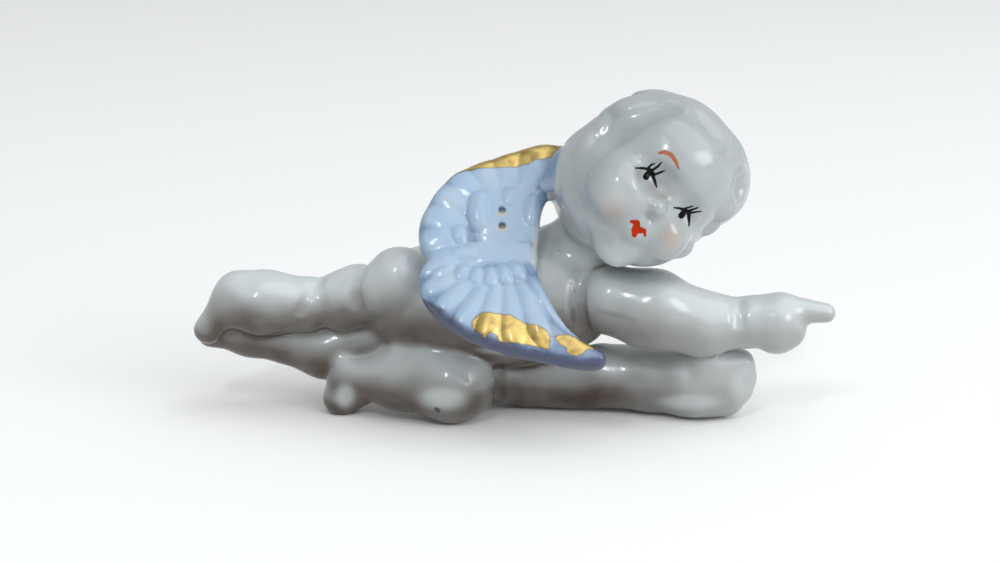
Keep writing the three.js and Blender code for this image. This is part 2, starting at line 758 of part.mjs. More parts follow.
// Thins a closed mesh to a number of triangles: neighbours are merged, those
// first whose merging moves the surface least, and none that would fold it
function thin(skin, wanted) {
  const points = skin.points.map((p) => [...p]);
  const faces = [];
  const around = points.map(() => new Set());
  for (let i = 0; i < skin.triangles.length; i += 3) {
    const face = skin.triangles.slice(i, i + 3);
    for (const c of face) around[c].add(face);
    faces.push(face);
  }
  const errors = around.map((near) => {
    let sum = new Float64Array(10);
    for (const [a, b, c] of near) sum = added(sum, planeError(points[a], points[b], points[c]));
    return sum;
  });
  const changes = new Int32Array(points.length);
  const { heap, push, pop } = makeHeap();
  const offer = (a, b) => {
    const sum = added(errors[a], errors[b]);
    const at = bestPoint(sum, points[a], points[b]);
    push({ a, b, at, cost: errorAt(sum, at), when: changes[a] + changes[b] });
  };
  const neighbours = (a) => {
    const found = new Set();
    for (const face of around[a]) for (const c of face) if (c !== a) found.add(c);
    return found;
  };
  const normal = (face, moved, at) => {
    const [a, b, c] = face.map((i) => (i === moved ? at : points[i]));
    return cross(minus(b, a), minus(c, a));
  };
  const folds = (a, b, at) => {
    for (const face of around[a]) {
      if (face.includes(b)) continue;
      const before = unit(normal(face, -1, at));
      const after = normal(face, a, at);
      const size = Math.hypot(after[0], after[1], after[2]);
      const longest = Math.max(...face.map((i) => Math.hypot(...minus(i === a ? at : points[i], at))));
      if (size < 0.06 * longest * longest || dot(before, after) < 0.5 * size) return true;
    }
    return false;
  };
  for (let a = 0; a < points.length; a++) for (const b of neighbours(a)) if (a < b) offer(a, b);
  let count = faces.length;
  while (count > wanted && heap.length) {
    const { a, b, at, when } = pop();
    if (!around[a].size || !around[b].size || when !== changes[a] + changes[b]) continue;
    const nearB = neighbours(b);
    const shared = [...neighbours(a)].filter((c) => nearB.has(c));
    if (shared.length !== 2 || folds(a, b, at) || folds(b, a, at)) continue;
    points[a] = at;
    errors[a] = added(errors[a], errors[b]);
    for (const face of [...around[b]]) {
      if (face.includes(a)) {
        for (const c of face) around[c].delete(face);
        face.length = 0;
        count--;
      } else {
        face[face.indexOf(b)] = a;
        around[a].add(face);
      }
    }
    around[b].clear();
    changes[a]++;
    for (const c of neighbours(a)) offer(a, c);
  }
  return { points, triangles: faces.flat() };
}

const wasm = await Module();
wasm.setup();

function solid(positions, triVerts) {
  const mesh = new wasm.Mesh({
    numProp: 3,
    vertProperties: Float32Array.from(positions),
    triVerts: Uint32Array.from(triVerts),
  });
  return new wasm.Manifold(mesh);
}

// Solid of a convex three.js shape, its doubled corners merged
function primitive(geometry) {
  const position = geometry.attributes.position;
  const seen = new Map();
  const corners = [];
  const number = [];
  for (let i = 0; i < position.count; i++) {
    const p = [position.getX(i), position.getY(i), position.getZ(i)];
    const key = p.map((c) => Math.round(c * 1e4)).join();
    if (!seen.has(key)) {
      seen.set(key, corners.length / 3);
      corners.push(...p);
    }
    number.push(seen.get(key));
  }
  const triangles = [];
  const index = geometry.index.array;
  for (let i = 0; i < index.length; i += 3) {
    const t = [number[index[i]], number[index[i + 1]], number[index[i + 2]]];
    if (t[0] !== t[1] && t[1] !== t[2] && t[2] !== t[0]) triangles.push(...t);
  }
  return solid(corners, triangles);
}

// Everything under the table: cutting it away leaves the small flats that
// the figurine rests on
function belowTable() {
  const width = 2 * FIGURE_LENGTH;
  const box = new THREE.BoxGeometry(width, width, width);
  box.translate(0, 0, -width / 2);
  return primitive(box);
}

// Hanging holes, bored square to the face of the far wing
function hangingHole(offset) {
  const bore = new THREE.CylinderGeometry(HOLE_DIAMETER / 2, HOLE_DIAMETER / 2, HOLE_DEPTH * 2, 10);
  const face = new THREE.Vector3(...FAR_WING.face);
  const turn = new THREE.Quaternion().setFromUnitVectors(new THREE.Vector3(0, 1, 0), face);
  bore.applyQuaternion(turn);
  const out = HOLE_PAIR[1] * UNIT + offset;
  const lift = WING_THICKNESS / 2 + 1.0 * UNIT;
  bore.translate(
    (WING_ROOT[0] + HOLE_PAIR[0]) * UNIT,
    WING_ROOT[1] * UNIT + FAR_WING.out[1] * out + face.y * lift,
    WING_ROOT[2] * UNIT + FAR_WING.out[2] * out + face.z * lift,
  );
  return primitive(bore);
}

const skin = thin(surface(figurine, GRID), TRIANGLES);
let casting = solid(
  skin.points.flat().map((c) => c * UNIT),
  skin.triangles,
);
casting = casting.subtract(belowTable());
casting = casting.subtract(hangingHole(HOLE_SPACING / 2));
casting = casting.subtract(hangingHole(-HOLE_SPACING / 2));

const cast = casting.getMesh();
const geometry = new THREE.BufferGeometry();
geometry.setAttribute("position", new THREE.BufferAttribute(cast.vertProperties, 3));
geometry.setIndex(new THREE.BufferAttribute(cast.triVerts, 1));
geometry.computeVertexNormals();

const porcelain = new THREE.MeshStandardMaterial({ color: 0xdfe4e6, roughness: 0.15, metalness: 0 });
const figure = new THREE.Mesh(geometry, porcelain);
figure.name = "angel_figurine";

const group = new THREE.Group();
group.name = "porcelain_angel";
group.add(figure);

export default group;
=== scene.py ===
"""Looks of a porcelain angel figurine.

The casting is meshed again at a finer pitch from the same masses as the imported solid, with
its feathers, locks, creases and face, and gets its glaze, its blue wings, its worn gold
edges and its painted face. Lengths in the tables are millimetres on a figure drawn 118.9
long, which is scaled to the real length.
"""

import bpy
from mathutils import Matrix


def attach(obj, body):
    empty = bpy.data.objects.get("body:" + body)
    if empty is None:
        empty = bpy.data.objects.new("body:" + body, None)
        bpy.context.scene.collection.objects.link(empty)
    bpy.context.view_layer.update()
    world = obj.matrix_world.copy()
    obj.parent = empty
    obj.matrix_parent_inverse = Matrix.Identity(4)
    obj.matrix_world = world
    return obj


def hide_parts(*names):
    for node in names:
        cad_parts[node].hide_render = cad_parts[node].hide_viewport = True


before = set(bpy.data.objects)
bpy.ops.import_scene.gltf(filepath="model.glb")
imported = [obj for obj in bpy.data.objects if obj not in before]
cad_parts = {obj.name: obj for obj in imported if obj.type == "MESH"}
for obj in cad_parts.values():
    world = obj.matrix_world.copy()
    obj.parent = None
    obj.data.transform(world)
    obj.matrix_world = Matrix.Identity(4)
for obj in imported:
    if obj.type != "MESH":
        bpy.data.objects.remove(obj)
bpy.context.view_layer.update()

import logging
import math
from dataclasses import dataclass, field
from enum import Enum
from typing import Callable

import bpy
import numpy as np

Array = np.ndarray
Distance = Callable[[Array], Array]
Pixel = tuple[float, float]
Cone = tuple[float, float, float, float]
NodeTree = bpy.types.NodeTree
NodeSocket = bpy.types.NodeSocket
Sockets = dict[str, NodeSocket]
Colour = str | NodeSocket

FIGURE_LENGTH = 120.0
DRAWN_LENGTH = 118.9
MILLIMETRES = 1000.0
METRES = FIGURE_LENGTH / DRAWN_LENGTH / MILLIMETRES
CLOSE = 4.0
NORMAL_STEP = 0.32
SETTLING_STEP = 0.05
RESTING = 0.02

NODE = "angel_figurine"
MASKS = (
    "fold", "head", "blush", "socket", "facing", "underside_shade", "speckled",
    "on_wing", "gold_edge", "rim", "between")

log = logging.getLogger("angel")


# Distances: negative inside the porcelain


def fillet_join(a: Array, b: Array, fillet: float) -> Array:
    """Union of two distances with a fillet.

    Args:
        a: First distance.
        b: Second distance.
        fillet: Width of the blend; the fillet is about a quarter as deep.

    Returns:
        The distance to the filleted union.
    """
    h = np.maximum(fillet - np.abs(a - b), 0.0) / fillet
    return np.minimum(a, b) - h * h * fillet * 0.25


def fillet_cut(a: Array, cutter: Array, fillet: float) -> Array:
    """Distance to a with the cutter taken away, its edge rounded."""
    return -fillet_join(-a, cutter, fillet)


def rounded_cone(p: Array, a: Cone, b: Cone) -> Array:
    """Distance to a cone with rounded ends.

    Args:
        p: Points, one a row.
        a: Centre and radius of one end.
        b: Centre and radius of the other end.

    Returns:
        One distance a point.
    """
    start, end = np.array(a[:3]), np.array(b[:3])
    span = end - start
    l2 = float(span @ span)
    dr = a[3] - b[3]
    a2 = l2 - dr * dr
    pa = p - start
    y = pa @ span
    z = y - l2
    x2 = ((pa * l2 - y[:, None] * span) ** 2).sum(1)
    y2 = y * y * l2
    z2 = z * z * l2
    k = np.sign(dr) * dr * dr * x2
    out = (np.sqrt(x2 * a2 / l2) + y * dr) / l2 - a[3]
    out = np.where(np.sign(y) * a2 * y2 < k, np.sqrt(x2 + y2) / l2 - a[3], out)
    return np.where(np.sign(z) * a2 * z2 > k, np.sqrt(x2 + z2) / l2 - b[3], out)


def in_box(p: Array, low: Array, high: Array, distance: Distance) -> Array:
    """Distance worked out close to a box, and the distance to the box elsewhere.

    Args:
        p: Points, one a row.
        low: Lowest corner of a box that holds the shape.
        high: Its highest corner.
        distance: Distance to the shape.

    Returns:
        One distance a point, never more than the real one.
    """
    away = np.sqrt((np.maximum(np.maximum(low - p, p - high), 0.0) ** 2).sum(1))
    close = away < CLOSE
    away[close] = distance(p[close])
    return away


def chain(p: Array, points: list[Cone] | tuple[Cone, ...], fillet: float) -> Array:
    """Distance to a chain of rounded cones.

    Args:
        p: Points, one a row.
        points: Centre and radius of each end along the chain.
        fillet: Width of the blend between one cone and the next.

    Returns:
        One distance a point.
    """
    ends = np.array(points)

    def links(q: Array) -> Array:
        """Distance to the chain's links."""
        d = rounded_cone(q, points[0], points[1])
        for a, b in zip(points[1:], points[2:]):
            d = fillet_join(d, rounded_cone(q, a, b), fillet)
        return d

    return in_box(p, (ends[:, :3] - ends[:, 3:]).min(0), (ends[:, :3] + ends[:, 3:]).max(0), links)


def ellipsoid(q: Array, at: Array | tuple, radii: Array | tuple) -> Array:
    """Distance to an ellipsoid.

    Args:
        q: Points in the ellipsoid's own axes, one a row.
        at: Its middle.
        radii: Its three radii.

    Returns:
        One distance a point.
    """
    e = q - np.array(at)
    r = np.array(radii)
    k0 = np.sqrt(((e / r) ** 2).sum(1))
    k1 = np.sqrt(((e / r**2) ** 2).sum(1))
    return k0 * (k0 - 1.0) / np.maximum(k1, 1e-6)


def outline_distance(q: Array, corners: Array) -> Array:
    """Signed distance in the plane to a closed outline, negative inside.

    Args:
        q: Points of the plane, one a row.
        corners: Corners of the outline in order.

    Returns:
        One distance a point.
    """
    least = np.full(len(q), 1e18)
    side = np.ones(len(q))
    previous = corners[-1]
    for corner in corners:
        edge = previous - corner
        w = q - corner
        t = np.clip((w @ edge) / (edge @ edge), 0.0, 1.0)
        off = w - t[:, None] * edge
        least = np.minimum(least, (off**2).sum(1))
        above = q[:, 1] >= corner[1]
        under = q[:, 1] < previous[1]
        left = edge[0] * w[:, 1] > edge[1] * w[:, 0]
        side = np.where((above == under) & (under == left), -side, side)
        previous = corner
    return side * np.sqrt(least)


def smooth_outline(points: list[Pixel] | Array) -> Array:
    """Closed outline with its corners cut twice, so that it runs smoothly.

    Args:
        points: Corners of the outline in order.

    Returns:
        Four times as many corners.
    """
    corners = np.array(points, float)
    for _ in range(2):
        ahead = np.roll(corners, -1, 0)
        pairs = [0.75 * corners + 0.25 * ahead, 0.25 * corners + 0.75 * ahead]
        corners = np.stack(pairs, 1).reshape(-1, 2)
    return corners


def smooth_step(x: Array, low: float, high: float) -> Array:
    """0 at low, 1 at high, with an easy run between them."""
    t = np.clip((x - low) / (high - low), 0.0, 1.0)
    return t * t * (3.0 - 2.0 * t)


@dataclass(frozen=True)
class Sightline:
    """Where the figurine is seen from: every painted mark is laid out in this view."""

    target: tuple[float, float, float] = (-2.02, 5.03, 25.15)
    distance: float = 400.0
    elevation: float = 15.0
    millimetres_a_pixel: float = 0.187
    width: int = 1000
    height: int = 563
    march_from: float = 45.0
    march_steps: int = 60
    march_share: float = 0.8

    @property
    def back(self) -> Array:
        """Unit vector from the figurine to the eye."""
        e = math.radians(self.elevation)
        return np.array([0.0, -math.cos(e), math.sin(e)])

    @property
    def up(self) -> Array:
        """Unit vector up in the picture."""
        e = math.radians(self.elevation)
        return np.array([0.0, math.sin(e), math.cos(e)])

    @property
    def focal(self) -> float:
        """Focal length in pixels."""
        return self.distance / self.millimetres_a_pixel

    @property
    def eye(self) -> Array:
        """Place of the eye."""
        return np.array(self.target) + self.distance * self.back

    def seen(self, p: Array) -> Array:
        """Picture coordinates of points.

        Args:
            p: Points, one a row.

        Returns:
            Pixels across and down, one pair a point.
        """
        q = p - self.eye
        depth = -(q @ self.back)
        across = self.width / 2 + self.focal * q[:, 0] / depth
        down = self.height / 2 - self.focal * (q @ self.up) / depth
        return np.stack([across, down], 1)

    def rays(self, pixels: list[Pixel] | Array) -> Array:
        """Directions from the eye through pixels.

        Args:
            pixels: Pixels across and down.

        Returns:
            One unit vector a pixel.
        """
        uv = np.array(pixels, float)
        right = np.array([1.0, 0.0, 0.0])
        ray = (
            (uv[:, :1] - self.width / 2) / self.focal * right
            - (uv[:, 1:] - self.height / 2) / self.focal * self.up
            - self.back
        )
        return ray / np.linalg.norm(ray, axis=1, keepdims=True)

    def on_skin(self, pixels: list[Pixel], distance: Distance) -> Array:
        """Points of the skin seen at the pixels.

        Args:
            pixels: Where they are seen.
            distance: Distance to the skin.

        Returns:
            One point a pixel.
        """
        ray = self.rays(pixels)
        p = self.eye + ray * (self.distance - self.march_from)
        for _ in range(self.march_steps):
            p = p + ray * (distance(p) * self.march_share)[:, None]
        return p


class Work(Enum):
    """How a mass changes what it is blended into."""

    RAISED = "raised"
    HOLLOWED = "hollowed"


@dataclass(frozen=True)
class Mass:
    """One ellipsoid, raised from what it joins or hollowed out of it."""

    at: tuple[float, float, float]
    radii: tuple[float, float, float]
    blend: float = 0.0
    work: Work = Work.RAISED

    def worked(self, d: Array, q: Array) -> Array:
        """A distance with the mass joined to it or cut out of it; q is in the mass's axes."""
        blended = fillet_cut if self.work is Work.HOLLOWED else fillet_join
        return blended(d, ellipsoid(q, self.at, self.radii), self.blend)


@dataclass(frozen=True)
class Limb:
    """Chain of rounded cones: fillet between its links, fillet where it joins, and its ends."""

    links: float
    joint: float
    points: tuple[Cone, ...]


def joined(p: Array, limbs: tuple[Limb, ...]) -> Array:
    """Distance to limbs joined in order.

    Args:
        p: Points, one a row.
        limbs: The limbs; each after the first is joined with its own fillet.

    Returns:
        One distance a point.
    """
    d = chain(p, limbs[0].points, limbs[0].links)
    for limb in limbs[1:]:
        d = fillet_join(d, chain(p, limb.points, limb.links), limb.joint)
    return d


@dataclass
class Trunk:
    """Torso, buttock and neck."""

    torso: Limb = Limb(6.0, 0.0, (
        (-18.98, 7.03, 20.81, 9.35), (-10.5, 7.03, 20.22, 10.66),
        (1.75, 7.03, 21.4, 11.59), (9.62, 6.03, 22.84, 10.85)))
    buttock: Limb = Limb(2.0, 1.6, (
        (-23.91, 1.53, 24.46, 5.24), (-20.73, 1.53, 26.95, 5.7)))
    neck: Limb = Limb(2.0, 3.0, (
        (11.47, 7.03, 29.56, 7.11), (17.98, 4.03, 36.06, 7.11)))


@dataclass
class Legs:
    """The trailing leg, the lower leg beneath it and the bent leg."""

    thigh: Limb = Limb(2.0, 1.4, (
        (-28.6, 5.03, 22.3, 6.1), (-31.64, 5.03, 21.37, 5.7)))
    calf: Limb = Limb(4.0, 1.2, (
        (-38.03, 5.03, 20.78, 5.24), (-46.65, 5.03, 20.98, 5.33), (-50.75, 5.03, 21.56, 4.67)))
    sole: Limb = Limb(2.0, 3.0, (
        (-51.38, 4.53, 23.44, 2.99), (-56.82, 4.03, 16.0, 2.62)))
    lower: Limb = Limb(3.0, 1.2, (
        (-56.84, 8.03, 14.04, 2.43), (-49.47, 8.03, 13.5, 3.2),
        (-35.28, 8.03, 10.87, 4.86), (-24.79, 8.03, 13.84, 5.98)))
    bent: Limb = Limb(4.0, 1.2, (
        (-16.12, 4.03, 13.06, 6.73), (-11.15, -1.27, 6.87, 6.26),
        (-21.11, 0.53, 7.27, 4.67), (-29.89, 3.03, 7.07, 3.55)))
    knee_side: Mass = Mass((-7.62, -0.27, 6.94), (4.9, 5.0, 5.6), 2.0)
    hip: Mass = Mass((-2.59, 6.53, 6.76), (6.08, 6.08, 6.08), 1.0)
    foot: Limb = Limb(2.0, 2.0, (
        (-31.65, 4.53, 9.17, 2.99), (-31.89, 3.63, 2.72, 2.99), (-28.7, 3.4, 3.6, 2.5)))

    def trailing(self, p: Array) -> Array:
        """Distance to the trailing leg."""
        return joined(p, (self.thigh, self.calf, self.sole))

    def folded(self, p: Array) -> Array:
        """Distance to the bent leg with its foot."""
        d = chain(p, self.bent.points, self.bent.links)
        d = self.hip.worked(self.knee_side.worked(d, p), p)
        return fillet_join(d, chain(p, self.foot.points, self.foot.links), self.foot.joint)


@dataclass
class Arms:
    """The stretched arm with its pointing finger, and the arm on the ground."""

    near: Limb = Limb(3.0, 0.8, (
        (18.41, -1.97, 23.5, 6.54), (26.2, -2.97, 21.9, 6.9),
        (34.79, -2.97, 19.3, 5.5), (42.53, -2.97, 19.38, 4.67)))
    near_hand: Limb = Limb(2.0, 1.5, (
        (45.46, -2.97, 19.77, 4.86), (48.41, -2.97, 19.58, 5.33)))
    near_fist: Limb = Limb(2.0, 1.5, (
        (49.23, -2.97, 17.27, 3.65), (51.04, -2.97, 18.04, 3.37)))
    finger: Limb = Limb(2.0, 1.5, (
        (50.17, -2.97, 22.06, 2.81), (57.92, -2.97, 21.3, 1.78)))
    far_upper: Limb = Limb(2.0, 1.2, (
        (11.78, 14.03, 19.86, 6.36), (3.14, 9.03, 6.37, 5.61)))
    far_elbow: Limb = Limb(2.0, 2.0, (
        (2.55, 7.63, 5.22, 5.33), (14.13, 6.53, 5.56, 5.8)))
    far_forearm: Limb = Limb(2.0, 1.2, (
        (17.72, 6.03, 6.5, 6.2), (26.34, 4.53, 6.3, 6.0), (33.31, 2.03, 6.4, 6.36)))
    far_palm: Limb = Limb(2.0, 2.0, (
        (33.67, 2.03, 6.8, 6.54), (37.72, 1.23, 7.25, 6.54)))
    far_fingers: tuple[Limb, ...] = (
        Limb(1.0, 1.8, ((35.65, -1.87, 11.34, 2.62), (42.85, -0.57, 10.94, 2.62))),
        Limb(1.0, 1.8, ((35.9, -1.87, 8.62, 2.43), (43.34, -0.27, 8.11, 2.43))),
        Limb(1.0, 1.8, ((35.6, -1.87, 5.89, 2.43), (42.71, 0.03, 5.27, 2.43))),
        Limb(1.0, 1.8, ((34.91, -1.87, 3.54, 2.24), (40.75, 0.33, 2.81, 2.24))))

    def stretched(self, p: Array) -> Array:
        """Distance to the stretched arm and its hand."""
        return joined(p, (self.near, self.near_hand, self.near_fist, self.finger))

    def grounded(self, p: Array) -> Array:
        """Distance to the arm that lies on the ground, and its curled hand."""
        limbs = (self.far_upper, self.far_elbow, self.far_forearm, self.far_palm)
        return joined(p, (*limbs, *self.far_fingers))


@dataclass(frozen=True)
class Lock:
    """A lock of hair: longitude, latitude and turn in degrees, sizes in millimetres."""

    longitude: float
    latitude: float
    turn: float
    half_width: float
    rise: float
    stretch: float


@dataclass(frozen=True)
class SeatedLock:
    """A lock in its place: middle, axes as columns, and radii."""

    at: Array
    axes: Array
    radii: tuple[float, float, float]

    def distance(self, q: Array) -> Array:
        """Distance to the lock; q is in the head's axes."""
        return ellipsoid((q - self.at) @ self.axes, (0.0, 0.0, 0.0), self.radii)


@dataclass
class Head:
    """The head: skull, face and locks, in axes of its own: left, crown and gaze."""

    centre: tuple[float, float, float] = (25.61, -0.97, 45.86)
    axes: tuple[tuple[float, float, float], ...] = (
        (0.6412, 0.0809, -0.7631), (0.745, 0.1726, 0.6443), (0.1839, -0.9817, 0.0504))
    reach: float = 24.0
    reach_margin: float = 3.0
    bare_reach: tuple[float, float] = (5.0, 25.0)
    halvings: int = 24
    skull: Mass = Mass((-0.5, 0.8, -1.2), (13.7, 15.9, 15.2))
    lower_face: Mass = Mass((0.0, -5.0, 3.2), (12.4, 10.6, 11.0), 4.0)
    side_hair: tuple[Mass, Mass] = (
        Mass((15.19, 1.53, 44.19), (7.6, 9.0, 10.5), 4.0),
        Mass((36.93, -0.47, 45.75), (6.6, 6.6, 8.0), 4.0))
    # Cheeks, chin, muzzle and forehead; the brow's hollow and the eyes'; nose; nostrils and mouth
    face: tuple[Mass, ...] = (
        Mass((-5.4, -6.0, 10.1), (6.6, 6.1, 6.2), 1.0),
        Mass((5.8, -5.6, 9.6), (4.8, 4.8, 5.2), 1.0),
        Mass((2.0, -12.9, 8.0), (4.3, 3.9, 4.0), 2.0),
        Mass((0.6, -8.4, 12.0), (3.3, 3.0, 3.0), 1.2),
        Mass((-0.6, 5.2, 6.6), (9.6, 7.4, 8.4), 4.0),
        Mass((-1.0, 0.2, 17.6), (6.0, 2.6, 4.0), 2.4, Work.HOLLOWED),
        Mass((-4.6, -0.3, 16.0), (3.9, 2.8, 3.9), 1.8, Work.HOLLOWED),
        Mass((5.0, -0.1, 15.8), (3.2, 2.6, 3.5), 1.8, Work.HOLLOWED),
        Mass((0.0, -3.8, 14.2), (1.8, 1.8, 2.0), 1.0),
        Mass((0.6, -5.9, 15.7), (1.4, 0.9, 1.3), 0.9, Work.HOLLOWED),
        Mass((0.6, -8.8, 15.5), (1.7, 0.7, 1.0), 0.8, Work.HOLLOWED))
    locks: tuple[Lock, ...] = (
        Lock(-89.5, 9.4, 85.3, 3.6, 1.6, 1.4), Lock(-76.0, 38.3, 73.7, 4.2, 1.2, 1.9),
        Lock(-84.9, -8.7, 92.9, 3.0, 1.1, 1.6), Lock(-51.6, 55.9, 41.6, 4.0, 1.0, 1.5),
        Lock(-0.6, 63.0, 155.6, 3.0, 1.1, 1.7), Lock(-81.6, -27.0, 101.2, 3.0, 0.8, 1.6),
        Lock(43.8, 51.1, -63.0, 3.0, 0.9, 1.6), Lock(54.1, 38.5, -80.5, 2.9, 1.3, 1.2),
        Lock(55.9, 27.0, 85.4, 2.6, 1.3, 1.3), Lock(-83.2, -47.9, 108.1, 2.8, 0.5, 1.9),
        Lock(-60.3, -62.9, 135.0, 2.6, 0.5, 2.0), Lock(61.5, 12.0, 91.8, 1.9, 1.0, 1.8),
        Lock(85.7, -2.1, 90.4, 1.7, 0.8, 1.9), Lock(54.3, -20.0, 86.6, 1.5, 0.8, 1.9),
        Lock(-34.2, 34.9, 58.0, 2.8, 0.6, 1.6),
        Lock(-1.9, 38.5, -18.1, 2.6, 0.5, 1.3), Lock(-71.2, 14.0, 81.8, 2.6, 0.8, 1.5))
    partings: tuple[Lock, ...] = (
        Lock(-60.0, 4.0, 70.0, 3.0, 1.5, 2.2), Lock(-53.7, 28.6, 65.0, 3.0, 1.5, 1.7),
        Lock(-16.3, 48.2, 157.7, 2.5, 1.5, 1.9), Lock(5.8, 43.9, 44.2, 2.0, 1.2, 1.6),
        Lock(48.4, 39.5, 98.4, 2.0, 1.1, 1.5), Lock(30.0, 33.0, 70.0, 2.4, 0.8, 2.0))
    back_rings: tuple[tuple[float, int, float], ...] = (
        (112, 8, -0.15), (145, 5, 0.5), (176, 1, 0.0))
    back_lock: Lock = Lock(0, 0, 0, 4.2, 0.35, 1.4)
    sink: float = 1.6
    nape_limit: float = -0.56
    combed: tuple[float, float, float] = (0.3, 0.2, 1.0)
    neck_blend: float = 0.8
    lock_blend: float = 0.7
    parting_blend: float = 1.7

    def __post_init__(self) -> None:
        """Seats every lock and parting on the bare head."""
        self.turned = np.array(self.axes).T
        raised = [self.front_frame(lock) for lock in self.locks] + self.back_frames()
        self.seated = self.seat(raised, -self.sink)
        self.hollows = self.seat([self.front_frame(lock) for lock in self.partings], self.sink)

    def seat(self, frames: list[tuple[Array, Array, Lock]], lift: float) -> list[SeatedLock]:
        """Sets locks on the bare head.

        Args:
            frames: Outward and lengthwise direction of each lock, and the lock.
            lift: How far their middles stand off the head.

        Returns:
            The locks in their places.
        """
        normals = np.array([n for n, _, _ in frames])
        near, far = (np.full(len(frames), reach) for reach in self.bare_reach)
        for _ in range(self.halvings):
            mid = (near + far) / 2
            q = normals * mid[:, None]
            inside = self.bare(np.array(self.centre) + q @ self.turned.T, q) < 0
            near, far = np.where(inside, mid, near), np.where(inside, far, mid)
        seated = []
        for (n, along, lock), reach in zip(frames, near):
            radii = (lock.half_width * lock.stretch, lock.half_width, lock.rise + self.sink)
            turned = np.stack([along, np.cross(n, along), n], 1)
            seated.append(SeatedLock(n * (reach + lift), turned, radii))
        return seated

    def front_frame(self, lock: Lock) -> tuple[Array, Array, Lock]:
        """Directions of a lock round the face.

        Args:
            lock: The lock.

        Returns:
            Outward and lengthwise directions, and the lock.
        """
        lon, lat, turn = (math.radians(a) for a in (lock.longitude, lock.latitude, lock.turn))
        n = np.array([math.sin(lon) * math.cos(lat), math.sin(lat), math.cos(lon) * math.cos(lat)])
        east = np.cross([0.0, 1.0, 0.0], n)
        east /= np.linalg.norm(east)
        north = np.cross(n, east)
        return n, east * math.cos(turn) + north * math.sin(turn), lock

    def back_frames(self) -> list[tuple[Array, Array, Lock]]:
        """Directions of the plainer locks, laid in rings on the back of the head.

        Returns:
            Outward and lengthwise directions of each, and the lock.
        """
        frames = []
        for from_gaze, count, offset in self.back_rings:
            tilt = math.radians(from_gaze)
            for i in range(count):
                turn = 2 * math.pi * (i + offset) / count
                out = math.sin(tilt)
                n = np.array([out * math.cos(turn), out * math.sin(turn), math.cos(tilt)])
                if n[1] >= self.nape_limit:
                    along = np.cross(n, self.combed)
                    frames.append((n, along / np.linalg.norm(along), self.back_lock))
        return frames

    def bare(self, p: Array, q: Array) -> Array:
        """Distance to the head before its locks.

        Args:
            p: Points, one a row.
            q: The same points in the head's axes.

        Returns:
            One distance a point.
        """
        d = self.lower_face.worked(ellipsoid(q, self.skull.at, self.skull.radii), q)
        for side in self.side_hair:
            d = side.worked(d, p)
        return d

    def distance(self, p: Array) -> Array:
        """Distance to the finished head.

        Args:
            p: Points, one a row.

        Returns:
            One distance a point.
        """
        v = p - np.array(self.centre)
        away = np.sqrt((v**2).sum(1))
        close = away <= self.reach
        d = away - self.reach + self.reach_margin
        d[close] = self.near_distance(p[close], v[close] @ self.turned)
        return d

    def near_distance(self, p: Array, q: Array) -> Array:
        """Distance close to the head, with locks and face.

        Args:
            p: Points, one a row.
            q: The same points in the head's axes.

        Returns:
            One distance a point.
        """
        d = self.bare(p, q)
        close = np.abs(d) < CLOSE
        q = q[close]
        e = d[close]
        for lock in self.seated:
            e = fillet_join(e, lock.distance(q), self.lock_blend)
        for hollow in self.hollows:
            e = fillet_cut(e, hollow.distance(q), self.parting_blend)
        for mass in self.face:
            e = mass.worked(e, q)
        d[close] = e
        return d


@dataclass(frozen=True)
class FeatherRow:
    """A row of feathers fanned about a centre of the wing's plane."""

    centre: tuple[float, float]
    count: int
    fan: tuple[float, float]
    reach: tuple[float, float]
    length: float
    width: float
    rise: float


@dataclass(frozen=True)
class Plate:
    """One rounded plate raised from the wing's face."""

    centre: tuple[float, float]
    angle: float
    length: float
    width: float
    rise: float
    corners: float = 2.0


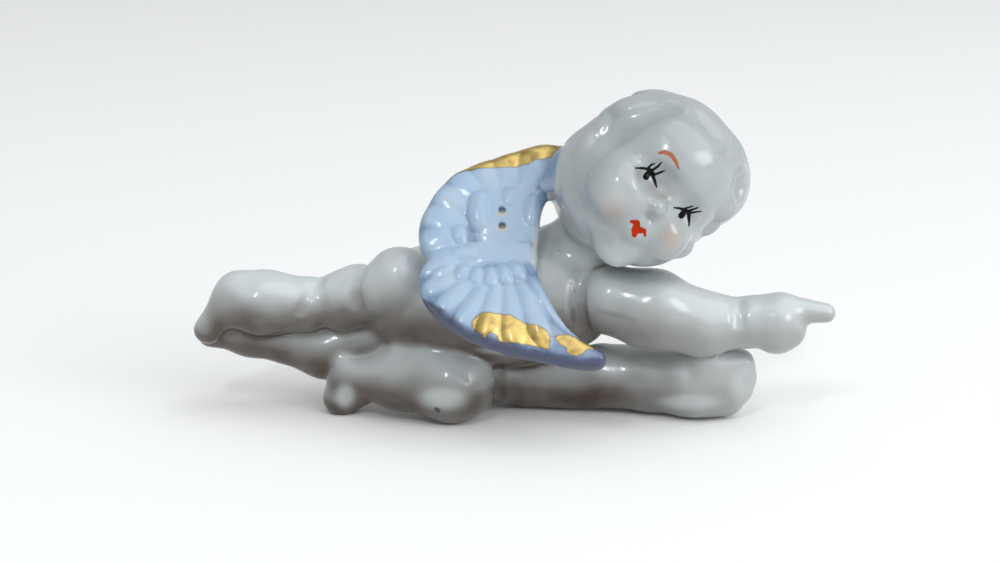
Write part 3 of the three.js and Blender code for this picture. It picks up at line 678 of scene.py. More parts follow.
@dataclass
class Wing:
    """A slab with a flat pattern in its own plane: along +X, and outwards from the spine."""

    out: tuple[float, float, float]
    face: tuple[float, float, float]
    curl: float
    outline: list[Pixel]
    rows: list[FeatherRow]
    plates: list[Plate]
    gold: list[list[Pixel]]
    tip: Limb | None = None
    root: tuple[float, float, float] = (-4.74, -5.97, 31.38)
    thickness: float = 3.27
    edge_radius: float = 1.3
    softness: float = 0.8
    relief_room: float = 1.5

    def __post_init__(self) -> None:
        """Smooths the outline and lays out the feathers."""
        self.smooth = smooth_outline(self.outline)
        self.lobes = list(self.plates)
        for row in self.rows:
            for t in np.linspace(0.0, 1.0, row.count):
                angle = row.fan[0] + (row.fan[1] - row.fan[0]) * t
                middle = row.reach[0] + (row.reach[1] - row.reach[0]) * t - row.length / 2
                turn = math.radians(angle)
                x, y = row.centre
                at = (x + math.cos(turn) * middle, y + math.sin(turn) * middle)
                self.lobes.append(Plate(at, angle, row.length, row.width, row.rise))

    def flat(self, p: Array) -> tuple[Array, Array]:
        """Place in the wing's plane, and height over it.

        Args:
            p: Points, one a row.

        Returns:
            The flat coordinates, one pair a point, and the heights.
        """
        v = p - np.array(self.root)
        b = v @ np.array(self.out)
        n = v @ np.array(self.face) + self.curl * b * b
        return np.stack([v[:, 0], b], 1), n

    def pattern_at(self, pixels: list[Pixel], sight: Sightline) -> Array:
        """Where the wing's plane is seen at the pixels, in flat coordinates."""
        ray = sight.rays(pixels)
        normal = np.array(self.face)
        t = ((np.array(self.root) - sight.eye) @ normal) / (ray @ normal)
        return self.flat(sight.eye + ray * t[:, None])[0]

    def relief(self, ab: Array) -> tuple[Array, Array]:
        """Height of the feathers.

        Args:
            ab: Flat coordinates, one pair a point.

        Returns:
            The heights, and how near each place is to its own feather's top, from 0 to 1.
        """
        high, near_top = np.zeros(len(ab)), np.zeros(len(ab))
        for lobe in self.lobes:
            e = ab - np.array(lobe.centre)
            c, s = math.cos(math.radians(lobe.angle)), math.sin(math.radians(lobe.angle))
            x = (e[:, 0] * c + e[:, 1] * s) / (lobe.length / 2)
            y = (e[:, 1] * c - e[:, 0] * s) / (lobe.width / 2)
            off = np.abs(x) ** lobe.corners + np.abs(y) ** lobe.corners
            dome = np.maximum(1.0 - off, 0.0) ** self.softness
            near_top = np.where(lobe.rise * dome > high, dome, near_top)
            high = np.maximum(high, lobe.rise * dome)
        return high, near_top

    def distance(self, p: Array) -> Array:
        """Distance to the slab with its feathers.

        Args:
            p: Points, one a row.

        Returns:
            One distance a point.
        """
        ab, n = self.flat(p)
        half = self.thickness / 2 - self.edge_radius

        def slab(place: Array) -> Array:
            """Distance by flat coordinates and height."""
            across = outline_distance(place[:, :2], self.smooth) + self.edge_radius
            height = place[:, 2]
            deep = np.maximum(height - half - self.relief(place[:, :2])[0], -height - half)
            outside = np.hypot(np.maximum(across, 0.0), np.maximum(deep, 0.0))
            return outside - self.edge_radius + np.minimum(np.maximum(across, deep), 0.0)

        thick = self.thickness / 2 + self.relief_room
        low = np.array([*self.smooth.min(0), -thick])
        high = np.array([*self.smooth.max(0), thick])
        return in_box(np.column_stack([ab, n]), low, high, slab)

    def gilding(self, p: Array, sight: Sightline) -> Array:
        """Distance to the edge of the gold, negative on the gold.

        Args:
            p: Points, one a row.
            sight: Where the figurine is seen from.

        Returns:
            One distance a point.
        """
        ab = self.flat(p)[0]
        bands = [outline_distance(ab, self.pattern_at(band, sight)) for band in self.gold]
        return np.minimum.reduce(bands)


def far_wing() -> Wing:
    """The wing that stands up behind."""
    return Wing(
        out=(0.0, 0.5446, 0.8387),
        face=(0.0, -0.8387, 0.5446),
        curl=0.004,
        outline=[
            (9.2, -0.8), (9.8, 6.1), (10.4, 10.4), (11.5, 13.5), (14.1, 15.9), (18.7, 18.2),
            (19.7, 21.4), (16.2, 23.0), (13.1, 23.8), (10.7, 24.0), (8.3, 23.4), (4.7, 22.0),
            (0.5, 20.4), (-4.3, 18.6), (-7.7, 15.7), (-10.6, 11.2), (-12.2, 6.9), (-12.0, 3.1),
            (-10.0, -0.4), (-6.7, -1.9), (7.2, -3.1)],
        rows=[
            FeatherRow((4.9, 5.4), 8, (204, 76), (17.9, 17.2), 10.6, 6.6, 0.8)],
        plates=[
            Plate((4.0, 9.2), 90, 12.6, 14.2, 0.8, 4.0),
            Plate((-1.2, 9.8), 92, 10.4, 5.2, 1.45),
            Plate((4.6, 12.2), 90, 6.0, 5.2, 1.2),
            Plate((8.4, 9.6), 86, 9.2, 4.6, 1.25),
            Plate((-4.7, 4.9), 100, 5.4, 4.2, 1.25),
            Plate((-4.2, 1.2), 0, 6.8, 3.8, 1.1)],
        gold=[[
            (440, 188), (461, 172.5), (475, 171), (485, 169.5), (500, 169.5), (520, 168),
            (528, 165), (535, 161.5), (545, 158.5), (555, 155), (564, 154), (585, 140),
            (560, 125), (520, 130), (470, 150)]],
        tip=Limb(2.0, 1.2, (
            (6.65, -3.47, 45.67, 1.5), (9.93, -1.97, 48.67, 2.43), (13.92, -1.47, 49.67, 2.24))),
    )


def near_wing() -> Wing:
    """The wing that hangs down the near side."""
    return Wing(
        out=(0.0, -0.7547, -0.6561),
        face=(0.0, -0.6561, 0.7547),
        curl=0.006,
        outline=[
            (9.1, -1.3), (9.4, 2.8), (10.6, 6.7), (12.5, 10.6), (14.6, 13.7), (17.2, 15.9),
            (19.6, 17.2), (21.2, 18.1), (21.7, 19.4), (20.6, 20.8), (17.4, 20.8), (12.6, 19.9),
            (5.9, 18.4), (0.4, 16.9), (-4.7, 14.6), (-9.1, 10.8), (-11.5, 7.2), (-12.1, 3.5),
            (-10.7, 0.4), (-8.2, -1.3), (-4.6, -3.1), (7.3, -4.2)],
        rows=[
            FeatherRow((3.3, -1.8), 9, (180, 52), (17.4, 22.6), 16.0, 5.0, 0.9),
            FeatherRow((1.0, -6.0), 5, (119, 62), (13.4, 12.6), 5.6, 4.2, 1.35)],
        plates=[
            Plate((2.6, -1.6), 0, 18.6, 7.2, 1.0, 3.0),
            Plate((-7.1, 2.9), 160, 6.8, 3.8, 1.1)],
        gold=[[
            (472, 324), (477, 319), (484, 317), (493, 318), (510, 320), (520, 324), (530, 327.5),
            (542, 331), (549, 335), (551, 341), (549, 348), (543, 348), (535, 345.5), (522, 344),
            (510, 343), (499, 341), (497, 336), (490, 335), (485, 339), (478, 334), (473, 329)],
            [(553, 337), (561, 335), (570, 336.5), (582, 340), (592, 344.5), (595, 349),
             (588, 348), (583, 352), (575, 354.5), (569, 352), (566, 347), (559, 343)]],
    )


@dataclass(frozen=True)
class Crease:
    """A soft fold pressed into the skin, along a line of pixels."""

    pixels: tuple[Pixel, ...]
    radius: float
    depth: float


@dataclass
class Figurine:
    """The whole casting: its masses, its fine mesh and what is painted on it."""

    sight: Sightline = field(default_factory=Sightline)
    trunk: Trunk = field(default_factory=Trunk)
    legs: Legs = field(default_factory=Legs)
    arms: Arms = field(default_factory=Arms)
    head: Head = field(default_factory=Head)
    far: Wing = field(default_factory=far_wing)
    near: Wing = field(default_factory=near_wing)
    # Two folds of the trailing leg, the elbow on the ground, armpit, wrist, cheek against hair
    creases: tuple[Crease, ...] = (
        Crease(((319, 282), (311, 291), (305, 300), (301, 312)), 1.5, 0.4),
        Crease(((362, 274), (357, 281), (355, 290), (358, 306)), 1.7, 0.4),
        Crease(((498, 368), (497, 378), (499, 389), (500, 398)), 1.2, 0.4),
        Crease(((579, 272), (575, 286), (576, 305), (580, 326)), 1.6, 0.4),
        Crease(((738, 302), (737, 312), (738, 324)), 1.5, 0.3),
        Crease(((567, 178), (573, 192), (586, 213), (606, 234)), 2.6, 0.2))
    spine_blend: float = 1.5
    wing_blend: float = 2.5
    crease_miss: float = 0.1
    crease_links: float = 0.3
    crease_edge: float = 0.7
    hole_edge: float = 0.3
    hole_pair: tuple[float, float] = (3.08, 8.27)
    hole_spacing: float = 3.07
    hole_radius: float = 0.62
    hole_floor: float = 1.1
    wobble: float = 0.10
    wobble_length: float = 9.0
    wobble_ratios: tuple[float, float, float] = (1.0, 1.1, 0.9)
    wobble_phases: tuple[float, float, float] = (1.0, 2.0, 0.0)
    spans: tuple = (
        ((-63.0, -19.0, 0.64), (-19.0, 61.5, 0.45)),
        ((-23.0, 21.8, 0.47),),
        ((-1.5, 13.0, 0.62), (13.0, 63.5, 0.45)))

    def __post_init__(self) -> None:
        """Finds where the creases lie on the plain skin."""
        self.folds: list[list[Cone]] = []
        for crease in self.creases:
            at = self.sight.on_skin(list(crease.pixels), self.masses)
            at = at[np.abs(self.masses(at)) < self.crease_miss]
            outward = self.gradient(self.masses, at, SETTLING_STEP)
            lift = outward * (crease.radius - crease.depth)
            self.folds.append([(*point, crease.radius) for point in (at + lift).tolist()])

    def body(self, p: Array) -> Array:
        """Distance to everything but the wings.

        Args:
            p: Points, one a row.

        Returns:
            One distance a point.
        """
        trunk, legs, arms = self.trunk, self.legs, self.arms
        d = chain(p, trunk.torso.points, trunk.torso.links)
        for part, joint in (
            (legs.trailing(p), legs.thigh.joint),
            (chain(p, trunk.buttock.points, trunk.buttock.links), trunk.buttock.joint),
            (chain(p, legs.lower.points, legs.lower.links), legs.lower.joint),
            (legs.folded(p), legs.bent.joint),
            (arms.grounded(p), arms.far_upper.joint),
            (chain(p, trunk.neck.points, trunk.neck.links), trunk.neck.joint),
            (arms.stretched(p), arms.near.joint),
            (self.head.distance(p), self.head.neck_blend),
        ):
            d = fillet_join(d, part, joint)
        return d

    def wings(self, p: Array) -> Array:
        """Distance to both wings with their thick leading edges."""
        d = fillet_join(self.near.distance(p), self.far.distance(p), self.spine_blend)
        return fillet_join(d, chain(p, self.far.tip.points, self.far.tip.links), self.far.tip.joint)

    def masses(self, p: Array) -> Array:
        """Distance to the figurine before its creases and holes."""
        return fillet_join(self.body(p), self.wings(p), self.wing_blend)

    def distance(self, p: Array) -> Array:
        """Distance to the finished figurine, cut off flat where it rests.

        Args:
            p: Points, one a row.

        Returns:
            One distance a point.
        """
        d = self.masses(p)
        turns = p * (2 * math.pi / self.wobble_length) * np.array(self.wobble_ratios)
        d = d + self.wobble * np.sin(turns + np.array(self.wobble_phases)).prod(1)
        for line in self.folds:
            d = fillet_cut(d, chain(p, line, self.crease_links), self.crease_edge)
        ab, n = self.far.flat(p)
        for side in (-1, 1):
            offset = side * self.hole_spacing / 2
            centre = np.array([self.hole_pair[0], self.hole_pair[1] + offset])
            bore = np.sqrt(((ab - centre) ** 2).sum(1)) - self.hole_radius
            d = fillet_cut(d, np.maximum(bore, self.hole_floor - n), self.hole_edge)
        return np.maximum(d, -p[:, 2])

    @staticmethod
    def gradient(distance: Distance, p: Array, step: float) -> Array:
        """Direction in which a distance grows fastest.

        Args:
            distance: The distance.
            p: Points, one a row.
            step: How far to each side it is compared.

        Returns:
            One unit vector a point.
        """
        g = np.empty_like(p)
        for axis in range(3):
            shift = np.zeros(3)
            shift[axis] = step
            g[:, axis] = distance(p + shift) - distance(p - shift)
        return g / np.maximum(np.sqrt((g**2).sum(1, keepdims=True)), 1e-9)


def in_pieces(distance: Distance, p: Array, size: int = 40000) -> Array:
    """The distance at many points, worked out a handful at a time."""
    return np.concatenate([distance(p[i : i + size]) for i in range(0, len(p), size)])


class Skin:
    """Closed mesh through a grid: one point a crossed cell, one quad a crossed grid line."""

    STRIDES = (4, 2, 1)
    SAFETY = 1.9
    ROOM = 0.45
    PULL = 0.95

    def __init__(self, distance: Distance, spans: tuple) -> None:
        """Meshes the surface where the distance is zero.

        Args:
            distance: Distance to the surface.
            spans: For each axis, stretches of grid lines: from, to and step.
        """
        self.distance = distance
        self.lines = [self.grid_lines(axis) for axis in spans]
        self.values = self.sample()
        self.inside = self.values < 0
        self.points, self.number = self.crossings()
        self.quads = self.faces()

    @staticmethod
    def grid_lines(stretches: tuple) -> Array:
        """Grid lines of one axis, their count fit for the widest stride.

        Args:
            stretches: From, to and step of each stretch.

        Returns:
            Places of the lines.
        """
        line: list[float] = []
        for start, end, step in stretches:
            count = round((end - start) / step)
            line += list(np.linspace(start, end, count + 1)[1 if line else 0 :])
        while (len(line) - 1) % Skin.STRIDES[0]:
            line.append(line[-1] + stretches[-1][2])
        return np.array(line)

    @staticmethod
    def spread(values: Array, keep: Callable[[Array, Array], Array]) -> Array:
        """Values of a grid on one twice as fine.

        Args:
            values: The coarse values.
            keep: What to make of two neighbours.

        Returns:
            The fine values.
        """
        for axis in range(3):
            twice = np.repeat(values, 2, axis)
            low = np.take(twice, range(twice.shape[axis] - 1), axis)
            high = np.take(twice, range(1, twice.shape[axis]), axis)
            values = keep(low, high)
        return values

    def sample(self) -> Array:
        """Distances on the grid, worked out only close to the surface.

        Returns:
            One distance a grid point.
        """
        pitch = max(float(np.diff(line).max()) for line in self.lines)
        values = None
        for stride in self.STRIDES:
            axes = [line[::stride] for line in self.lines]
            if values is None:
                values = np.zeros([len(a) for a in axes])
                wanted = np.ones(values.shape, bool)
            else:
                near = np.abs(values) < pitch * stride * 2 * self.SAFETY
                wanted = self.spread(near, np.logical_or)
                values = self.spread(values, lambda low, high: low)
            i, j, k = np.nonzero(wanted)
            p = np.stack([axes[0][i], axes[1][j], axes[2][k]], 1)
            values[wanted] = in_pieces(self.distance, p)
        return values

    def crossings(self) -> tuple[Array, Array]:
        """Points of the mesh, and the number of each cell's point.

        Returns:
            The points, and an array of cells with -1 where there is none.
        """
        inside, values = self.inside, self.values
        n = values.shape
        count = np.zeros([m - 1 for m in n], int)
        for corner in np.ndindex(2, 2, 2):
            count += inside[tuple(slice(c, m - 1 + c) for c, m in zip(corner, n))]
        cells = np.argwhere((count > 0) & (count < 8))
        total = np.zeros((len(cells), 3))
        crossed = np.zeros(len(cells))
        for axis in range(3):
            others = [a for a in range(3) if a != axis]
            for s, t in np.ndindex(2, 2):
                a = cells.copy()
                a[:, others[0]] += s
                a[:, others[1]] += t
                b = a.copy()
                b[:, axis] += 1
                va, vb = values[tuple(a.T)], values[tuple(b.T)]
                cross = (va < 0) != (vb < 0)
                share = np.where(cross, va / np.where(cross, va - vb, 1.0), 0.0)
                for c in range(3):
                    here, there = self.lines[c][a[:, c]], self.lines[c][b[:, c]]
                    total[:, c] += np.where(cross, here + (there - here) * share, 0.0)
                crossed += cross
        number = np.full(count.shape, -1)
        number[tuple(cells.T)] = np.arange(len(cells))
        start = total / crossed[:, None]
        room = np.stack([np.diff(line)[cells[:, c]] for c, line in enumerate(self.lines)], 1)
        return self.settled(start, room * self.ROOM), number

    def settled(self, start: Array, room: Array) -> Array:
        """Points moved onto the surface.

        Args:
            start: Where they start.
            room: How far each may move along each axis.

        Returns:
            Where they end.
        """
        p = start
        for _ in range(2):
            d = in_pieces(self.distance, p)
            g = in_pieces(lambda q: Figurine.gradient(self.distance, q, SETTLING_STEP), p)
            p = np.clip(p - g * (d * self.PULL)[:, None], start - room, start + room)
        return p

    def faces(self) -> Array:
        """Quads of the mesh, wound outwards.

        Returns:
            Four point numbers a quad.
        """
        quads = []
        for axis in range(3):
            s, t = (axis + 1) % 3, (axis + 2) % 3
            low = [slice(None)] * 3
            high = [slice(None)] * 3
            low[axis], high[axis] = slice(0, -1), slice(1, None)
            edges = np.argwhere(self.inside[tuple(low)] != self.inside[tuple(high)])
            here = self.inside[tuple(edges.T)]
            ring = []
            for ds, dt in ((-1, -1), (0, -1), (0, 0), (-1, 0)):
                cell = edges.copy()
                cell[:, s] += ds
                cell[:, t] += dt
                ring.append(self.number[tuple(cell.T)])
            quad = np.stack(ring, 1)
            quads.append(np.where(here[:, None], quad, quad[:, ::-1]))
        return np.concatenate(quads)


def linear(colour: str) -> tuple[float, float, float, float]:
    """Linear colour of an sRGB hex value such as #d8dedf."""
    levels = [int(colour[i : i + 2], 16) / 255.0 for i in (1, 3, 5)]
    straight = [c / 12.92 if c <= 0.04045 else ((c + 0.055) / 1.055) ** 2.4 for c in levels]
    return (*straight, 1.0)


def add(tree: NodeTree, kind: str, inputs: dict | None = None, **settings) -> bpy.types.Node:
    """Adds a node with its settings, values and links.

    Args:
        tree: Node tree that gets the node.
        kind: Type of the node.
        inputs: Values or linked sockets, by the input's name or number.
        **settings: Attributes of the node.

    Returns:
        The node.
    """
    node = tree.nodes.new(kind)
    for name, value in settings.items():
        setattr(node, name, value)
    for name, value in (inputs or {}).items():
        if isinstance(value, NodeSocket):
            tree.links.new(value, node.inputs[name])
        else:
            node.inputs[name].default_value = value
    return node


@dataclass(frozen=True)
class Stroke:
    """One touch of the brush: from, to, and half its width at each end, in pixels."""

    start: Pixel
    end: Pixel
    wide: float
    narrow: float


@dataclass(frozen=True)
class FacePaint:
    """Overglaze enamel of the face, put on with a fine brush and fired: flat, slightly glossy; with
    spots of painted shade in the eye sockets.
    """

    black: str = "#07080b"
    brow: str = "#ab5a37"
    red: str = "#ad2b07"
    blush: str = "#b08b74"
    eyes: tuple[Stroke, ...] = (
        Stroke((646.2, 176.6), (648.4, 173.6), 3.2, 3.0),
        Stroke((635.4, 168.0), (643.8, 168.2), 0.6, 1.2),
        Stroke((643.8, 168.2), (650.4, 169.9), 1.2, 1.6),
        Stroke((650.4, 169.9), (653.8, 174.2), 1.6, 1.7),
        Stroke((648.2, 168.0), (651.6, 164.5), 1.1, 0.9),
        Stroke((651.6, 164.5), (654.9, 163.6), 0.9, 0.4),
        Stroke((652.7, 169.9), (657.7, 166.6), 1.2, 1.0),
        Stroke((657.7, 166.6), (661.6, 162.4), 1.0, 0.5),
        Stroke((653.8, 174.9), (660.4, 172.4), 1.1, 1.0),
        Stroke((660.4, 172.4), (664.3, 170.7), 1.0, 0.5),
        Stroke((652.1, 173.8), (654.9, 181.6), 1.8, 1.4),
        Stroke((654.9, 181.6), (656.6, 187.1), 1.4, 0.6),
        Stroke((681.4, 215.6), (683.9, 212.2), 3.0, 2.8),
        Stroke((674.0, 207.7), (679.3, 208.2), 0.6, 1.1),
        Stroke((679.3, 208.2), (689.3, 211.7), 1.1, 1.8),
        Stroke((683.8, 208.8), (692.7, 206.2), 1.0, 0.5),
        Stroke((688.2, 211.0), (697.7, 207.7), 1.2, 0.6),
        Stroke((690.4, 212.7), (701.0, 211.3), 1.0, 0.5),
        Stroke((688.8, 213.2), (689.1, 226.0), 2.0, 0.5))
    brows: tuple[Stroke, ...] = (
        Stroke((659.6, 152.9), (664.9, 151.8), 1.4, 2.0),
        Stroke((664.9, 151.8), (671.6, 155.1), 2.0, 2.1),
        Stroke((671.6, 155.1), (676.0, 161.8), 2.1, 1.7),
        Stroke((676.0, 161.8), (678.7, 169.0), 1.7, 0.6))
    lips: tuple[Stroke, ...] = (
        Stroke((631.6, 221.6), (637.0, 222.6), 1.6, 2.8),
        Stroke((637.0, 223.6), (635.6, 230.0), 3.0, 4.2),
        Stroke((635.6, 230.0), (634.4, 234.6), 4.2, 2.6),
        Stroke((638.5, 230.0), (644.0, 230.6), 3.6, 2.2),
        Stroke((643.8, 230.6), (645.3, 236.0), 2.2, 0.9))
    blushes: tuple[tuple[float, float, float], ...] = ((612, 208, 14), (671, 238, 13))
    # Spots of painted shade round the eyes and beside the nose, not enamel
    sockets: tuple[tuple[float, float, float], ...] = (
        (654, 186, 8), (666, 196, 7), (640, 172, 5), (691, 218, 6))


@dataclass(frozen=True)
class Porcelain:
    """Slip-cast porcelain under a clear, glossy glaze: milky, slightly green-grey, and darker in the
    folds, partly where the glaze pools and grime has settled and partly as painted shade; with painted
    brown shade on the undersides, painted grey shade over the head and painted shade in the eye
    sockets."""

    white: str = "#c5cbcb"
    # Clouded glaze, and the painted shade in the folds
    shade: str = "#a8adab"
    # Dirt in the folds, and the painted shade of the eye sockets
    dirt_and_shade: str = "#75685a"
    speck: str = "#1d1a18"
    unglazed: str = "#b3afa2"
    # Painted brown shade and reflection of the undersides
    underside_shade: str = "#44362b"
    # Painted grey shade over the head
    grey: str = "#8f9698"
    stain: str = "#7d6d55"
    roughness: float = 0.2
    coat: float = 0.35
    coat_roughness: float = 0.06
    ior: float = 1.52
    specular: float = 0.45
    painted_specular: float = 0.1
    subsurface: float = 0.12
    subsurface_radius: tuple[float, float, float] = (0.002, 0.0017, 0.0014)
    subsurface_scale: float = 0.6
    ripple_strength: float = 0.12
    ripple_depth: float = 0.0002
    speck_spacing: float = 1.7
    speck_growth: float = 0.09
    # Painted brown shade of the undersides: the height it starts below, its run, the downward slope it
    # needs, and where along the figure it thins and by how much
    brown_from: float = 33.0
    brown_run: float = 16.0
    brown_slope: tuple[float, float] = (-0.85, 0.2)
    brown_thins: tuple[float, float] = (12.0, 40.0)
    brown_thinned: float = 0.5
    # Patches of painted light in the painted underside shade: how much they lift it, and where they
    # lie, in pixels
    painted_light_strength: float = 0.75
    painted_light_patches: tuple[tuple[float, float, float, float], ...] = (
        (443, 398, 24, 12), (345, 396, 10, 12), (612, 362, 26, 12), (745, 380, 14, 30),
        (690, 402, 30, 8), (520, 350, 40, 5))
    speckled: tuple[float, float, float] = (552, 255, 42)
    stains: tuple[Stroke, ...] = (
        Stroke((594.0, 269.5), (604.0, 265.5), 0.8, 2.0),
        Stroke((571.0, 284.0), (575.0, 292.0), 0.6, 0.8),
        Stroke((543.0, 214.0), (548.0, 220.0), 1.4, 1.8))
    pit: Stroke = Stroke((436.5, 409.5), (438.5, 411.0), 2.2, 1.9)
    rims: tuple[Stroke, ...] = (
        Stroke((499.5, 213.8), (504.5, 212.6), 3.0, 3.0),
        Stroke((500.0, 228.4), (505.0, 227.4), 3.2, 3.2))


@dataclass(frozen=True)
class WingGlaze:
    """Blue glaze brushed over the wings: pale on the raised feathers, deeper between them, partly where
    it pools and partly as painted shade, slate along the lower rim, partly as painted shade where it
    turns down, and worn to cream on the inner edge."""

    pale: str = "#9bb3cb"
    # Deeper blue between the feathers: pooled glaze and painted shade
    deep: str = "#6a82a3"
    # Slate glaze of the lower rim, also painted shade where the rim turns down
    slate: str = "#3f4761"
    cream: str = "#c3c8c6"
    roughness: float = 0.3
    seam: tuple[float, float] = (0.1, 0.9)
    rim_line: tuple[float, float, float] = (425.0, 300.0, 0.25)
    rim_run: tuple[float, float] = (-5.0, 9.0)
    rim_clear: float = 3.0
    far_clear: float = 6.0
    worn: tuple[Stroke, ...] = (
        Stroke((539.0, 222.0), (536.0, 250.0), 1.0, 4.5),
        Stroke((536.0, 250.0), (535.0, 268.0), 4.5, 1.0))


@dataclass(frozen=True)
class GoldLustre:
    """Fired gold lustre on the wings' edges: bright metal, rubbed through in places, with a
    dark ragged line where it ends."""

    metal: str = "#cfb56d"
    worn: str = "#9b8150"
    line: str = "#4a3d33"
    roughness: float = 0.42


@dataclass(frozen=True)
class Pattern:
    """Soft random unevenness: how wide its lumps are in millimetres, how fine its detail is,
    and its values in a hollow and on a lump."""

    lump: float
    detail: float = 2.0
    hollow: float = 0.0
    top: float = 1.0


@dataclass(frozen=True)
class Fade:
    """A finish that passes from none, or its least, at one value of a mask to all at another.

    The mask may be made uneven by a pattern that is added to it.
    """

    mask: str
    none: float
    full: float
    uneven: str = ""
    least: float = 0.0


Factor = Fade | str | float


@dataclass(frozen=True)
class Coat:
    """A colour that covers what is under it by the product of its shares."""

    colour: Colour
    shares: tuple[Factor, ...]


@dataclass
class Decoration:
    """Glazes, lustre and paint of the figurine, laid over one material."""

    porcelain: Porcelain = field(default_factory=Porcelain)
    wing: WingGlaze = field(default_factory=WingGlaze)
    gold: GoldLustre = field(default_factory=GoldLustre)
    paint: FacePaint = field(default_factory=FacePaint)
    bend_step: float = 0.8
    wing_margin: float = 0.2
    turned_to_front: tuple[float, float] = (0.0, 0.4)
    fold_limit: float = 2.0
    head_margin: float = 4.0
    head_edge: float = 2.0
    patterns: dict[str, Pattern] = field(default_factory=lambda: {
        "cloud": Pattern(14.0),
        "grime": Pattern(3.0, 4.0),
        # Unevenness of the painted brown shade on the undersides
        "smoke": Pattern(9.0, 2.0, 0.68, 1.18),
        "blot": Pattern(0.9, 3.0, -2.0, 2.0),
        "wash": Pattern(1.6, 3.0, -0.25, 0.25),
        "streak": Pattern(4.0, 3.0),
        "brush": Pattern(2.2, 2.0, -0.5, 0.5),
        "torn": Pattern(1.4, 4.0, -0.45, 0.45),
        "rubbed": Pattern(2.6, 4.0),
        "lustre": Pattern(2.4),
        "rare": Pattern(20.0, 2.0, -0.04, 0.06),
        "ripple": Pattern(1.5, 3.0)})

    def masks(self, figurine: Figurine, p: Array, normal: Array) -> dict[str, Array]:
        """Where each finish lies, one value a point of the mesh.

        Args:
            figurine: The figurine.
            p: Points of its mesh, in drawn millimetres.
            normal: Outward direction at each point.

        Returns:
            The masks by name.
        """
        facing = normal @ figurine.sight.back
        seen = figurine.sight.seen(p)
        from_head = np.sqrt(((p - np.array(figurine.head.centre)) ** 2).sum(1))
        head_reach = figurine.head.reach - self.head_margin
        head = smooth_step(head_reach - from_head, 0.0, self.head_edge)
        on_face = smooth_step(facing, *self.turned_to_front) * head
        u, v, reach = self.porcelain.speckled
        return {
            "fold": np.clip(-self.bend(figurine, p), 0.0, self.fold_limit),
            "head": head,
            "blush": self.glow(seen, self.paint.blushes) * on_face,
            # Painted shade of the eye sockets
            "socket": np.minimum(self.glow(seen, self.paint.sockets), 1.0) * on_face,
            "facing": facing,
            # Painted brown shade on the undersides
            "underside_shade": self.shaded(p, normal, seen, facing),
            "speckled": np.exp(-((seen[:, 0] - u) ** 2 + (seen[:, 1] - v) ** 2) / reach**2),
            **self.wing_masks(figurine, p, seen),
        }

    def bend(self, figurine: Figurine, p: Array) -> Array:
        """How sharply the skin bends.

        Args:
            figurine: The figurine.
            p: Points of its mesh.

        Returns:
            One value a point, below zero in a hollow.
        """
        bend = -6.0 * in_pieces(figurine.distance, p)
        for axis in range(3):
            shift = np.zeros(3)
            shift[axis] = self.bend_step
            bend += in_pieces(figurine.distance, p + shift) + in_pieces(figurine.distance, p - shift)
        return bend / self.bend_step**2

    def glow(self, seen: Array, spots: tuple[tuple[float, float, float], ...]) -> Array:
        """Sum of soft round spots.

        Args:
            seen: Where each point is seen, in pixels.
            spots: Middle and radius of each spot, in pixels.

        Returns:
            One value a point.
        """
        total = np.zeros(len(seen))
        for u, v, r in spots:
            total += np.exp(-((seen[:, 0] - u) ** 2 + (seen[:, 1] - v) ** 2) / (r * r))
        return total

    def shaded(self, p: Array, normal: Array, seen: Array, facing: Array) -> Array:
        """Share of the painted brown shade on the undersides, with paler patches of painted light.

        Args:
            p: Points of the mesh.
            normal: Outward direction at each point.
            seen: Where each is seen, in pixels.
            facing: How much each faces the camera's side.

        Returns:
            One share a point.
        """
        clay = self.porcelain
        dark = smooth_step(-normal[:, 2], *clay.brown_slope)
        dark *= smooth_step(clay.brown_from - p[:, 2], 0.0, clay.brown_run)
        dark *= 1.0 - clay.brown_thinned * smooth_step(p[:, 0], *clay.brown_thins)
        # Patches of painted light on the knee, foot, forearm, hand and lower belly edge lift the
        # painted shade
        for u, v, wide, high in clay.painted_light_patches:
            away = ((seen[:, 0] - u) / wide) ** 2 + ((seen[:, 1] - v) / high) ** 2
            pale = np.exp(-(away**2)) * smooth_step(facing, *self.turned_to_front)
            dark *= 1.0 - clay.painted_light_strength * pale
        return dark

    def wing_masks(self, figurine: Figurine, p: Array, seen: Array) -> dict[str, Array]:
        """Where the wings are, their gold, their lower rim and the hollows between feathers.

        Args:
            figurine: The figurine.
            p: Points of its mesh.
            seen: Where each is seen, in pixels.

        Returns:
            The masks by name.
        """
        off_near = in_pieces(figurine.near.distance, p)
        off_far = in_pieces(figurine.far.distance, p) + self.wing_margin
        is_near = off_near < off_far
        on_near, on_far = figurine.near.flat(p)[0], figurine.far.flat(p)[0]
        # Slate along the near wing's lower rim, below a line across the view: slate glaze, and painted
        # shade where the rim turns down
        u, v, slope = self.wing.rim_line
        above = v + slope * (seen[:, 0] - u) - seen[:, 1]
        clear = self.wing.rim_clear * smooth_step(above, *self.wing.rim_run)
        rim = clear - outline_distance(on_near, figurine.near.smooth)
        far_rim = self.wing.far_clear - outline_distance(on_far, figurine.far.smooth)
        near_top, far_top = figurine.near.relief(on_near)[1], figurine.far.relief(on_far)[1]
        near_gold = figurine.near.gilding(p, figurine.sight)
        far_gold = figurine.far.gilding(p, figurine.sight)
        body, wings = in_pieces(figurine.body, p), in_pieces(figurine.wings, p)
        return {
            "on_wing": smooth_step(body - wings, *self.wing.seam),
            "gold_edge": np.where(is_near, near_gold, far_gold),
            "rim": np.where(is_near, rim, far_rim),
            # Hollows between the feathers, which take the deeper blue, partly as painted shade
            "between": 1.0 - np.where(is_near, near_top, far_top),
        }

